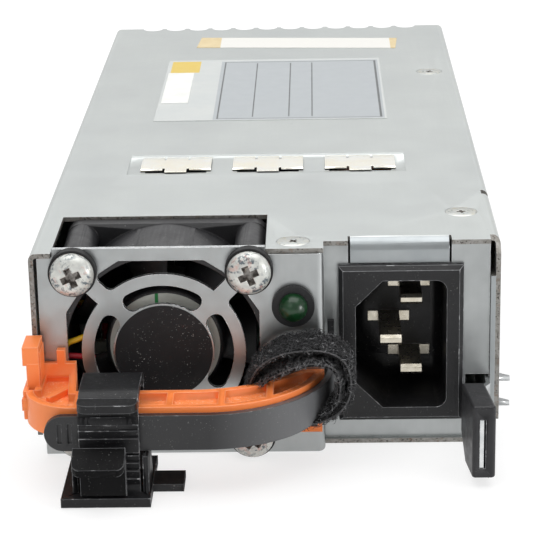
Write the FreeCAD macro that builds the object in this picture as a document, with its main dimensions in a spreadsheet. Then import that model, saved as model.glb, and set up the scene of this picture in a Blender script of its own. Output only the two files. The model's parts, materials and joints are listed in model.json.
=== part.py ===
"""Hot swap server power supply: a parametric FreeCAD document, one sub-part per real piece.

Lengths are millimetres. X runs across the unit, Y from its service face to its output edge, Z up.
Every sub-part is drawn with Y = 0 at the outer face of the fan panel, and its Placement then
moves it back by half the casing's depth, so that the origin is the middle of the casing's underside.
"""
import FreeCAD, Part
import Sketcher
import math
import os
import re

SIZES = {
    # casing: an inverted U of sheet steel over a tray of the same kind
    "case_width": 86.0, "case_height": 40.0, "case_depth": 186.0,
    "cover_sheet": 0.9, "tray_sheet": 0.9, "cover_edge_radius": 1.4, "tray_bend_radius": 2.2,
    "cover_skirt_gap": 4.5, "tray_side_drop": 7.0, "left_wall_overhang": 0.8,
    "cover_led_setback": 0.6, "right_wall_setback": 4.6, "wall_corner_chamfer": 2.8,
    "ear_reach": 8.5, "ear_bottom": 11.0, "ear_top": 22.3,
    "notch_count": 12, "notch_pitch": 6.04, "notch_radius": 2.5,
    "seat_gap": 0.1, "trim_gap": 0.3, "weld": 0.5,
    # fan opening in the cover and below the fan
    "opening_left": 19.9, "opening_right": 19.0, "opening_depth": 21.2,
    # spring contacts set in a shallow recess of the cover
    "recess_left": 29.2, "recess_right": 27.6, "recess_start": 49.4, "recess_length": 14.0,
    "recess_drop": 0.35, "contact_centre": -0.5, "contact_pitch": 18.85, "contact_width": 14.4,
    "contact_length": 11.8, "contact_window_rim": 0.9, "contact_sheet": 0.2, "contact_rise": 0.55,
    "finger_gap": 0.5, "finger_front_slit": 2.6, "finger_rear_slit": 3.6,
    "finger_setback": 1.4, "edge_slot_y": 33.2, "edge_slot_length": 2.4, "edge_slot_depth": 1.5,
    # countersunk screws that hold the cover
    "cover_screw_inset": 6.2, "cover_screw_y_front": 21.7, "cover_screw_step_gap": 5.5,
    "cover_screw_y_led": 5.0, "cover_screw_rear_gap": 51.5, "cover_screw_head_radius": 3.0,
    "cover_screw_head_height": 0.5, "cover_screw_radius": 1.5, "cover_screw_length": 6.0,
    # folded front panel: fan wall, indicator wall, and the inlet wall set back beside them
    "panel_sheet": 0.9, "panel_left_inset": 1.4, "panel_rise": 0.6, "panel_step_inset": 32.5,
    "inlet_recess": 5.2, "panel_right_inset": 1.9, "panel_lip": 7.0, "panel_lip_radius": 0.8,
    "panel_bend_radius": 1.4,
    "led_flange_depth": 7.5, "led_flange_left": 1.0,
    "tongue_left_offset": 9.3, "tongue_right_offset": 8.9, "tongue_slot": 0.4, "tongue_web": 1.6,
    "tongue_radius": 2.4, "tongue_root": 7.4, "latch_port_inset": 6.3, "latch_port_gap": 0.4,
    # finger guard stamped in the fan wall
    "guard_border": 17.7, "guard_straight": 7.8, "guard_corner": 12.4, "guard_spoke": 3.2,
    "guard_ring_outer": 15.1, "guard_ring_inner": 12.9, "guard_disc": 9.3, "guard_web": 2.6,
    "guard_fillet": 1.2, "guard_slot_fillet": 1.6, "guard_sticker_radius": 9.0,
    "guard_sticker_thickness": 0.15,
    # fan
    "fan_inset": 24.0, "fan_lift": 0.5, "fan_size": 38.0, "fan_depth": 20.0, "fan_flange": 3.0,
    "fan_corner_radius": 2.6, "fan_bore": 18.1, "fan_drum": 18.9, "fan_post": 3.0,
    "fan_hole_pitch": 32.0, "fan_hole_radius": 1.9, "fan_strut_width": 2.2, "fan_strut_depth": 2.6,
    "fan_cup_radius": 9.6, "bearing_tube_radius": 2.9, "bearing_tube_length": 11.0,
    "bearing_radius": 2.1, "bearing_length": 3.0, "shaft_radius": 1.0, "shaft_clearance": 0.04,
    "hub_radius": 11.0, "hub_wall": 1.2, "hub_setback": 2.6, "hub_depth": 13.4, "hub_edge": 0.8,
    "blade_count": 7, "blade_tip": 16.9, "blade_thick": 0.9, "blade_start": 1.2, "blade_length": 10.4,
    "blade_root_sweep": 3.2, "blade_tip_sweep": 4.8, "blade_camber": 15.0,
    "stator_radius": 8.6, "stator_slots": 6, "stator_slot_width": 2.2, "stator_length": 7.0,
    "hub_label_thickness": 0.12,
    # fan screws and their rubber washers
    "screw_head_radius": 4.0, "screw_head_height": 2.4, "screw_radius": 1.75, "screw_length": 9.0,
    "grommet_radius": 4.4, "grommet_height": 2.0,
    # indicator
    "led_step_gap": 5.6, "led_drop": 10.6, "bezel_radius": 3.9, "bezel_reach": 1.2, "bezel_barrel": 3.1,
    "bezel_length": 5.0, "lens_radius": 2.6, "lens_reach": 1.6, "lens_length": 8.0,
    # appliance inlet
    "inlet_inset": 18.3, "inlet_side_lip": 1.3, "inlet_end_lip": 1.45,
    "inlet_flange": 1.7, "inlet_bevel": 0.8, "inlet_body_width": 20.4, "inlet_body_height": 27.6,
    "inlet_body_depth": 19.0, "cavity_width": 16.8, "cavity_height": 25.0, "cavity_depth": 16.2,
    "cavity_chamfer": 5.0, "cavity_radius": 2.0, "blade_pitch": 14.0, "earth_offset": 3.9,
    "line_offset": 2.1, "inlet_blade_wide": 4.0, "inlet_blade_tall": 2.0, "line_blade_length": 9.5,
    "earth_blade_length": 12.4, "inlet_blade_chamfer": 0.6, "inlet_root_wide": 8.0, "inlet_root_proud": 0.4,
    "inlet_tab_length": 6.0,
    "inlet_tab_wide": 3.6, "inlet_tab_tall": 0.8,
    # release latch: spring leaf, teeth and moulded cap
    "leaf_sheet": 0.8, "leaf_bottom": 3.8, "leaf_height": 9.2, "leaf_pivot": 34.0,
    "leaf_root_length": 16.0, "leaf_root_gap": 0.3, "leaf_wall_gap": 0.1, "leaf_front_lean": 1.5,
    "cap_back": -4.6, "cap_front": -16.2, "cap_inner_inset": 7.7, "cap_outer_inset": 3.5,
    "cap_lean": 1.3, "cap_bottom": 1.8, "cap_top": 15.6, "cap_slant_start": 6.3,
    "cap_fillet": 0.7, "cap_slot_inset": 1.4, "cap_slot_depth": 1.6,
    "tooth_start": 6.0, "tooth_length": 3.6, "tooth_reach": 2.1, "tooth_low": 6.6,
    "tooth_high": 11.6, "tooth_sheet": 0.8, "tooth_slot_play": 0.5,
    # snapped-in carrying handle
    "handle_top": 16.8, "handle_thick": 5.6, "arm_front": 17.6, "arm_width": 8.0,
    "bend_offset": 8.2, "bend_y": 4.0, "inner_bend_offset": 5.0, "inner_bend_radius": 27.0,
    "handle_gap": 0.15, "drum_inset": 1.0, "drum_bulge": 1.5, "drum_step": 8.8, "drum_round_width": 8.0,
    "drum_radius": 9.4, "drum_neck_width": 7.6, "drum_rear_width": 6.8, "handle_rim": 1.3,
    "pocket_depth": 2.4, "rib_width": 1.2, "rib_first_offset": 1.8, "rib_second_offset": 11.0,
    "rib_third_offset": 19.6, "rib_drum_offset": 8.4, "ledge_rise": 2.2, "ledge_depth": 1.4,
    "post_offset": 3.4, "post_width": 1.5, "post_rise": 2.6, "hook_reach": 1.1, "hook_width": 2.9,
    "hook_front": 7.4, "hook_bottom": 22.6, "hook_top": 24.4, "neck_width": 1.0,
    "bump_reach": 0.7, "bump_front": 10.4, "bump_length": 1.4, "bump_bottom": 13.4,
    "bump_height": 2.1, "foot_bottom": 5.1, "foot_width": 4.6, "foot_depth": 1.9,
    "tenon_inset": 1.0, "tenon_height": 3.2, "tenon_width": 3.4, "tenon_play": 0.1,
    # strap round the outside of the handle
    "strap_gap": 0.3, "strap_thick": 1.2, "strap_bottom": 9.2, "strap_height": 6.6,
    "strap_end_inset": 2.7, "strap_groove_width": 0.8, "strap_groove_depth": 0.35,
    "strap_groove_pitch": 1.8, "strap_groove_inset": 2.3, "strap_groove_margin": 1.4,
    "anchor_height": 17.0, "anchor_bottom": 7.6,
    # ring of hook-and-loop tape
    "tape_left_offset": 14.8, "tape_right_offset": 34.9, "tape_bottom": 6.8, "tape_top": 25.2,
    "tape_thick": 2.2, "tape_front": -11.4, "tape_low_front": -5.6, "tape_back": -2.4,
    "tape_left_corner": 8.2, "tape_right_corner": 5.4, "tape_lean_left": 2.7, "tape_lean_right": 10.0,
    "tape_lean_low": 3.0, "tape_lean_high": 10.0,
    # releasable clip
    "clip_plate_offset": 17.4, "clip_plate_width": 15.9, "clip_plate_front": -23.5,
    "clip_plate_length": 18.7, "clip_floor": 0.2, "clip_plate_thick": 1.7, "clip_tab_reach": 5.5,
    "clip_tab_start": -17.0, "clip_tab_length": 6.1, "clip_tab_thick": 1.4,
    "band_offset": 14.0, "band_width": 10.6, "band_thick": 1.2, "band_gap": 0.4,
    "band_front_round": 4.4, "band_rear_round": 3.0,
    "crest_z": 20.0, "band_split": 9.4, "clip_rear": -6.4, "clip_hinge_drop": 3.2,
    "hinge_gap": 0.3, "ladder_step": 1.5, "ladder_depth": 0.45,
    "fin_thick": 1.0, "fin_gap": 0.5, "fin_length": 8.6, "fin_rise": 6.8, "fin_taper": 2.2,
    "pull_top": 16.4, "pull_reach": 3.0, "pull_thick": 1.4, "pull_corner": 2.2,
    "lever_offset": 13.8, "lever_width": 8.1, "lever_thick": 1.2, "thumb_top": 11.2,
    "thumb_front": -26.5, "thumb_bottom": 8.0, "thumb_overhang": 1.2, "thumb_thick": 1.3,
    "thumb_corner": 1.5,
    # rear wall
    "vent_rows": 3, "vent_first": 16.0, "vent_row_pitch": 6.6, "rear_lip": 6.0,
    "edge_port_play": 2.0, "edge_port_bottom": 2.6, "edge_port_height": 7.4,
    # circuit board and what stands on it
    "board_z": 5.0, "board_thick": 1.6, "board_start": 26.0, "board_side_gap": 4.0,
    "board_setback": 2.6, "edge_half": 31.0, "edge_reach": 9.0, "key_slot_x": 9.0,
    "key_slot_width": 1.6, "pad_thick": 0.1, "pad_length": 7.0, "pad_width": 4.2, "pad_pitch": 5.2,
    "signal_pitch": 1.7, "signal_width": 1.1, "standoff_radius": 2.6, "standoff_inset": 4.0,
    "standoff_front": 32.0, "standoff_rear_gap": 14.0, "liner_thick": 0.3, "liner_gap": 0.4,
    "bulk_radius": 14.5, "bulk_length": 42.0, "bulk_x": -22.0, "bulk_y": 40.0,
    "choke_radius": 12.0, "choke_bore": 5.0, "choke_width": 13.0, "choke_x": 22.0, "choke_y": 84.0,
    "core_x": 0.0, "core_y": 112.0, "core_width": 32.0, "core_length": 26.0, "core_height": 25.0,
    "coil_radius": 11.4, "coil_height": 14.0, "leg_radius": 6.0,
    "sink_height": 27.0, "sink_base": 2.4, "sink_fin": 1.0, "sink_fin_reach": 7.0,
    "sink_fin_pitch": 4.0, "sink_fins": 9, "primary_sink_inset": 3.0, "primary_sink_y": 88.0,
    "secondary_sink_inset": 13.0, "secondary_sink_y": 112.0, "secondary_sink_fins": 12,
    "emi_radius": 9.5, "emi_bore": 4.0, "emi_height": 9.0, "emi_x": 24.0, "emi_y": 48.0,
    "xcap_x": 10.0, "xcap_y": 66.0, "xcap_width": 24.0, "xcap_depth": 8.5, "xcap_height": 16.0,
    "outcap_radius": 5.0, "outcap_height": 20.0, "outcap_first_x": -26.0, "outcap_pitch": 11.0,
    "outcap_count": 5, "outcap_rear_gap": 28.0, "card_inset": 6.0, "card_rear_gap": 52.0,
    "card_length": 34.0,
    "card_height": 22.0, "card_thick": 1.2, "socket_inset": 2.0, "socket_y": 29.0,
    "socket_width": 8.0, "socket_depth": 4.6, "socket_height": 5.0,
    # leads
    "lead_radius": 0.65, "lead_pitch": 1.6, "lead_start_z": 23.0, "mains_radius": 1.3,
    "lead_slack": 1.2, "lead_exit_y": 2.5,
    "lead_turn_y": 27.0, "lead_turn_z": 20.0, "lead_rise": 5.0, "mains_landing_y": 36.0,
    "mains_bow": 3.0,
    # labels
    "film": 0.1, "label_left": 26.6, "label_right": 25.2, "label_rear_gap": 95.0,
    "label_length": 58.0, "serial_left": -26.0, "serial_width": 6.2, "serial_offset": 15.6,
    "serial_length": 29.0,
    "tape_strip_left": -20.6, "tape_strip_width": 50.4, "tape_strip_rear_gap": 22.8,
    "tape_strip_length": 11.2, "tape_strip_skew": -4.0,
}

# Places and lengths that follow a larger size, each by a named offset.
DERIVED = {
    "tray_side_height": "case_height - tray_side_drop",
    "cover_screw_x_right": "case_width / 2 - cover_screw_inset",
    "cover_screw_x_led": "panel_step_x - cover_screw_step_gap",
    "cover_screw_y_rear": "case_depth - cover_screw_rear_gap",
    "panel_left": "case_width / 2 - panel_left_inset",
    "panel_top": "case_height + panel_rise",
    "panel_step_x": "case_width / 2 - panel_step_inset",
    "panel_right": "case_width / 2 - panel_right_inset",
    "tongue_left": "inlet_x - tongue_left_offset",
    "tongue_right": "inlet_x + tongue_right_offset",
    "tongue_bottom": "inlet_z + inlet_body_height / 2 + tongue_web",
    "latch_port_left": "case_width / 2 - latch_port_inset",
    "latch_port_top": "leaf_bottom + leaf_height + latch_port_gap",
    "fan_x": "fan_inset - case_width / 2",
    "fan_z": "case_height / 2 + fan_lift",
    "led_x": "panel_step_x - led_step_gap",
    "led_z": "case_height - led_drop",
    "inlet_x": "case_width / 2 - inlet_inset",
    "inlet_z": "case_height / 2",
    "inlet_width": "inlet_body_width + 2 * inlet_side_lip",
    "inlet_height": "inlet_body_height + 2 * inlet_end_lip",
    "cap_inner_back": "case_width / 2 - cap_inner_inset",
    "cap_outer_back": "case_width / 2 - cap_outer_inset",
    "bend_x": "fan_x + bend_offset",
    "inner_bend_x": "fan_x + inner_bend_offset",
    "drum_left": "case_width / 2 - drum_inset",
    "drum_corner_x": "drum_left - drum_round_width",
    "drum_neck_x": "drum_left - drum_neck_width",
    "drum_rear_x": "drum_left - drum_rear_width",
    "rib_first": "fan_x + rib_first_offset",
    "rib_second": "fan_x + rib_second_offset",
    "rib_third": "fan_x + rib_third_offset",
    "rib_drum": "rib_drum_offset - drum_left",
    "post_x": "post_offset - drum_left",
    "hook_left": "case_width / 2 + hook_reach",
    "strap_end_x": "strap_end_inset - drum_left",
    "tape_left": "fan_x + tape_left_offset",
    "tape_right": "fan_x + tape_right_offset",
    "clip_plate_left": "fan_x - clip_plate_offset",
    "band_left": "fan_x - band_offset",
    "lever_left": "fan_x - lever_offset",
    "board_half": "case_width / 2 - board_side_gap",
    "standoff_x": "board_half - standoff_inset",
    "standoff_rear": "case_depth - standoff_rear_gap",
    "edge_port_half": "edge_half + edge_port_play",
    "primary_sink_x": "primary_sink_inset - board_half",
    "secondary_sink_x": "board_half - secondary_sink_inset",
    "card_x": "card_inset - board_half",
    "card_y": "case_depth - card_rear_gap",
    "outcap_y": "case_depth - outcap_rear_gap",
    "socket_x": "socket_inset - board_half",
    "label_start": "case_depth - label_rear_gap",
    "serial_start": "label_start + serial_offset",
    "tape_strip_start": "case_depth - tape_strip_rear_gap",
}

document = FreeCAD.newDocument("power_supply")
sheet = document.addObject("Spreadsheet::Sheet", "Sizes")
for row, (alias, number) in enumerate(SIZES.items(), start=1):
    sheet.set(f"A{row}", alias)
    sheet.set(f"B{row}", str(number))
    sheet.setAlias(f"B{row}", alias)
document.recompute()

NODES = []
WORD = re.compile(r"[a-z][a-z_0-9]*")
UP = FreeCAD.Vector(0, 0, 1)
TINY_VOLUME = 1e-6
# For each origin plane: which way its normal points along its axis.
PLANES = {"XY": 1, "XZ": -1, "YZ": 1}
TURNS = {
    "X": FreeCAD.Rotation(FreeCAD.Vector(0, 1, 0), 90),
    "Y": FreeCAD.Rotation(FreeCAD.Vector(1, 0, 0), -90),
    "Z": FreeCAD.Rotation(),
}


def spell(found):
    """A size's cell, a derived length's own formula, or the word itself."""
    word = found.group(0)
    if word in DERIVED:
        return f"({formula(DERIVED[word])})"
    return f"Sizes.{word}" if word in SIZES else word


def formula(text):
    """Turn a formula in plain size names into one that reads the sheet's cells."""
    return WORD.sub(spell, str(text))


def value(text):
    """The number that a formula gives now, in millimetres."""
    return float(sheet.evalExpression(formula(text)))


def bind(item, path, text):
    """Tie one property of an object to a formula."""
    item.setExpression(path, formula(text))


def locate(item, x=0, y=0, z=0, turn="Z"):
    """Place an object by three formulas, its own Z axis turned to the named axis."""
    item.Placement = FreeCAD.Placement(FreeCAD.Vector(), TURNS[turn])
    bind(item, "Placement.Base.x", x)
    bind(item, "Placement.Base.y", y)
    bind(item, "Placement.Base.z", z)


def node(item, label, x=0, z=0, y=0):
    """Name a finished sub-part and set it in the unit's own frame."""
    item.Label = label
    locate(item, x, f"{y} - case_depth / 2", z)
    NODES.append(item)
    return item


# ---- Part primitives ----------------------------------------------------------------------

def box(x, y, z, dx, dy, dz):
    """A block from its low corner and its three sizes."""
    item = document.addObject("Part::Box", "Block")
    bind(item, "Length", dx)
    bind(item, "Width", dy)
    bind(item, "Height", dz)
    locate(item, x, y, z)
    return item


def rod(x, y, z, radius, length, axis="Z"):
    """A cylinder that starts at a point and runs along the named axis."""
    item = document.addObject("Part::Cylinder", "Rod")
    bind(item, "Radius", radius)
    bind(item, "Height", length)
    locate(item, x, y, z, axis)
    return item


def cone(x, y, z, radius_start, radius_end, length, axis="Z"):
    """A cone frustum that starts at a point and runs along the named axis."""
    item = document.addObject("Part::Cone", "Cone")
    bind(item, "Radius1", radius_start)
    bind(item, "Radius2", radius_end)
    bind(item, "Height", length)
    locate(item, x, y, z, axis)
    return item


def fuse(items):
    """One object from several that touch or overlap."""
    item = document.addObject("Part::MultiFuse", "Joined")
    item.Shapes = items
    return item


def group(items):
    """Separate solids kept in one object."""
    item = document.addObject("Part::Compound", "Set")
    item.Links = items
    return item


def cut(base, tools):
    """A base with the tools' shapes removed."""
    item = document.addObject("Part::Cut", "Trimmed")
    item.Base = base
    item.Tool = fuse(tools) if len(tools) > 1 else tools[0]
    return item


# ---- sketched bodies ----------------------------------------------------------------------

def rectangle(x0, y0, x1, y1):
    """Corners of a rectangle."""
    return [(x0, y0), (x1, y0), (x1, y1), (x0, y1)]


def round_rectangle(x0, y0, x1, y1, radius):
    """Corners of a rectangle whose corners are arcs."""
    return [
        (f"{x0} + {radius}", y0, radius), (f"{x1} - {radius}", y0),
        (x1, f"{y0} + {radius}", radius), (x1, f"{y1} - {radius}"),
        (f"{x1} - {radius}", y1, radius), (f"{x0} + {radius}", y1),
        (x0, f"{y1} - {radius}", radius), (x0, f"{y0} + {radius}"),
    ]


def arc_between(start, end, radius):
    """The minor arc from start to end; a negative radius turns clockwise."""
    middle = (start + end) * 0.5
    chord = end - start
    left = FreeCAD.Vector(-chord.y, chord.x, 0).normalize()
    rise = math.sqrt(max(radius * radius - chord.Length ** 2 / 4, 0))
    centre = middle + left * math.copysign(rise, radius)
    first, last = (start, end) if radius > 0 else (end, start)
    angles = [math.atan2(point.y - centre.y, point.x - centre.x) for point in (first, last)]
    return Part.ArcOfCircle(Part.Circle(centre, UP, abs(radius)), *angles)


def draw_loop(sketch, corners):
    """Draw a closed outline whose every corner and arc radius is bound to a formula.

    A corner is (x, y), or (x, y, radius) where the edge that arrives there is an arc.
    """
    base = sketch.GeometryCount
    count = len(corners)
    points = [FreeCAD.Vector(value(corner[0]), value(corner[1]), 0) for corner in corners]
    starts = []
    ends = []
    for index in range(count):
        target = corners[(index + 1) % count]
        start, end = points[index], points[(index + 1) % count]
        clockwise = False
        if len(target) == 3:
            radius = value(target[2])
            clockwise = radius < 0
            sketch.addGeometry(arc_between(start, end, radius))
            bound = sketch.addConstraint(Sketcher.Constraint("Radius", base + index, abs(radius)))
            bind(sketch, f"Constraints[{bound}]", f"abs({target[2]})")
        else:
            sketch.addGeometry(Part.LineSegment(start, end))
        starts.append(2 if clockwise else 1)
        ends.append(1 if clockwise else 2)
    for index in range(count):
        after = (index + 1) % count
        sketch.addConstraint(
            Sketcher.Constraint("Coincident", base + index, ends[index], base + after, starts[after]))
        for kind, text, number in (("DistanceX", corners[index][0], points[index].x),
                                   ("DistanceY", corners[index][1], points[index].y)):
            bound = sketch.addConstraint(
                Sketcher.Constraint(kind, -1, 1, base + index, starts[index], number))
            bind(sketch, f"Constraints[{bound}]", text)


def draw_circle(sketch, x, y, radius):
    """Draw a circle whose centre and radius are bound to formulas."""
    index = sketch.addGeometry(Part.Circle(FreeCAD.Vector(value(x), value(y), 0), UP, value(radius)))
    for kind, ends, text in (("Radius", (index,), radius), ("DistanceX", (-1, 1, index, 3), x),
                             ("DistanceY", (-1, 1, index, 3), y)):
        bound = sketch.addConstraint(Sketcher.Constraint(kind, *ends, value(text)))
        bind(sketch, f"Constraints[{bound}]", text)


def draw(body, plane, level, loops, origin=(0, 0)):
    """A sketch on one of the body's origin planes, at a level along that plane's axis."""
    sketch = body.newObject("Sketcher::SketchObject", "Outline")
    planes = {item.Role: item for item in body.Origin.OriginFeatures}
    sketch.AttachmentSupport = [(planes[f"{plane}_Plane"], "")]
    sketch.MapMode = "FlatFace"
    bind(sketch, "AttachmentOffset.Base.x", origin[0])
    bind(sketch, "AttachmentOffset.Base.y", origin[1])
    bind(sketch, "AttachmentOffset.Base.z", f"{PLANES[plane]} * ({level})")
    for loop in loops:
        if loop[0] == "circle":
            draw_circle(sketch, *loop[1:])
        else:
            draw_loop(sketch, loop)
    return sketch


def start_body():
    """An empty body."""
    return document.addObject("PartDesign::Body", "Piece")


def changed(body, before):
    """Stop where a feature left the body as it was."""
    document.recompute()
    if abs(body.Shape.Volume - before) < TINY_VOLUME:
        raise RuntimeError(f"a feature of {body.Name} changed nothing: {body.Tip.Label}")


def pad(body, plane, level, length, loops, origin=(0, 0)):
    """Add material from a level, towards the plane's positive axis."""
    before = body.Shape.Volume if body.Tip else 0
    feature = body.newObject("PartDesign::Pad", "Pad")
    feature.Profile = draw(body, plane, level, loops, origin)
    feature.Reversed = PLANES[plane] < 0
    bind(feature, "Length", length)
    changed(body, before)
    return feature


def pocket(body, plane, level, length, loops, origin=(0, 0)):
    """Remove material from a level, towards the plane's positive axis."""
    before = body.Shape.Volume
    feature = body.newObject("PartDesign::Pocket", "Pocket")
    feature.Profile = draw(body, plane, level, loops, origin)
    feature.Reversed = PLANES[plane] > 0
    bind(feature, "Length", length)
    changed(body, before)
    return feature


def revolve(body, plane, loops, axis):
    """Add a full turn of an outline about an axis of its sketch."""
    feature = body.newObject("PartDesign::Revolution", "Turning")
    feature.Profile = draw(body, plane, 0, loops)
    feature.ReferenceAxis = (feature.Profile[0], [axis])
    feature.Angle = 360
    changed(body, 0)
    return feature


def repeat_round(body, feature, count, axis=None):
    """Repeat a feature evenly round its own sketch's normal, or round another axis."""
    before = body.Shape.Volume
    pattern = body.newObject("PartDesign::PolarPattern", "Ring")
    pattern.Originals = [feature]
    pattern.Axis = axis or (feature.Profile[0], ["N_Axis"])
    pattern.Angle = 360
    bind(pattern, "Occurrences", count)
    body.Tip = pattern
    changed(body, before)
    return pattern


def repeat_along(body, feature, count, pitch, direction="H_Axis"):
    """Repeat a feature along an axis of its own sketch."""
    before = body.Shape.Volume
    pattern = body.newObject("PartDesign::LinearPattern", "Row")
    pattern.Originals = [feature]
    pattern.Direction = (feature.Profile[0], [direction])
    bind(pattern, "Length", f"({count} - 1) * {pitch}")
    bind(pattern, "Occurrences", count)
    body.Tip = pattern
    changed(body, before)
    return pattern


def straight_edges(shape, axis, wanted):
    """Names of the straight edges along an axis whose middle passes a test."""
    names = []
    for number, edge in enumerate(shape.Edges, start=1):
        if edge.Curve.TypeId != "Part::GeomLine":
            continue
        along = edge.tangentAt(edge.FirstParameter)
        middle = edge.valueAt((edge.FirstParameter + edge.LastParameter) / 2)
        if abs(getattr(along, axis)) > 0.999 and wanted(middle):
            names.append(f"Edge{number}")
    return names


def dress(body, kind, size, axis, wanted):
    """Round ("Fillet") or bevel ("Chamfer") the edges that pass a test."""
    before = body.Shape.Volume
    base = body.Tip
    feature = body.newObject(f"PartDesign::{kind}", kind)
    feature.Base = (base, straight_edges(base.Shape, axis, wanted))
    bind(feature, "Radius" if kind == "Fillet" else "Size", size)
    changed(body, before)
    return feature


# ---- casing -------------------------------------------------------------------------------

HALF = "case_width / 2"
INNER_HALF = "(case_width / 2 - cover_sheet)"
TRAY_INNER = "(case_width / 2 - cover_sheet - tray_sheet)"
COVER_UNDER = "(case_height - cover_sheet)"
FLOOR_TOP = "tray_sheet"
OPENING_X0 = "(fan_x - opening_left)"
OPENING_X1 = "(fan_x + opening_right)"
CONTACT_START = "(recess_start + (recess_length - contact_length) / 2)"
COVER_SCREWS = [
    ("cover_screw_x_right", "cover_screw_y_front"),
    ("cover_screw_x_led", "cover_screw_y_led"),
    ("cover_screw_x_right", "cover_screw_y_rear"),
]
HANDLE_BOTTOM = "(handle_top - handle_thick)"
BEND_RADIUS = "(arm_front + bend_y)"
FOOT_RIGHT = "(bend_x + sqrt((arm_front + bend_y) ^ 2 - (bend_y + handle_gap + foot_depth) ^ 2))"
TENONS = [f"({FOOT_RIGHT} - tenon_inset - tenon_width)", "(-drum_left + tenon_inset)"]
TOUCH = 0.01


def build_base_tray():
    """The lower shell: floor and two side flanges bent up inside the cover."""
    body = start_body()
    inner = "tray_bend_radius - tray_sheet"
    pad(body, "XZ", "right_wall_setback - trim_gap", "case_depth - right_wall_setback + trim_gap", [[
        (f"-({INNER_HALF} - tray_bend_radius)", 0, "tray_bend_radius"),
        (f"{INNER_HALF} - tray_bend_radius", 0),
        (INNER_HALF, "tray_bend_radius", "tray_bend_radius"),
        (INNER_HALF, "tray_side_height"),
        (TRAY_INNER, "tray_side_height"),
        (TRAY_INNER, "tray_bend_radius"),
        (f"{INNER_HALF} - tray_bend_radius", "tray_sheet", f"-({inner})"),
        (f"-({INNER_HALF} - tray_bend_radius)", "tray_sheet"),
        (f"-{TRAY_INNER}", "tray_bend_radius", f"-({inner})"),
        (f"-{TRAY_INNER}", "tray_side_height"),
        (f"-{INNER_HALF}", "tray_side_height"),
        (f"-{INNER_HALF}", "tray_bend_radius"),
    ]])
    pocket(body, "XY", "-tray_sheet", "3 * tray_sheet", [[
        ("-panel_left", 0), ("panel_step_x", 0), ("panel_step_x", "panel_lip + seat_gap"),
        (OPENING_X1, "panel_lip + seat_gap"), (OPENING_X1, "opening_depth"),
        (OPENING_X0, "opening_depth"), (OPENING_X0, "panel_lip + seat_gap"),
        ("-panel_left", "panel_lip + seat_gap"),
    ]])
    pocket(body, "YZ", TRAY_INNER + " - tray_sheet", "3 * tray_sheet", tooth_slots())
    return node(body, "base_tray")


def tooth_slots():
    """The two openings in the right wall that the latch teeth pass through."""
    return [rectangle("tooth_start - tooth_slot_play", f"{low} - tooth_slot_play",
                      "tooth_start + tooth_length + tooth_slot_play",
                      f"{low} + tooth_sheet + tooth_slot_play") for low in ("tooth_low", "tooth_high")]


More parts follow.
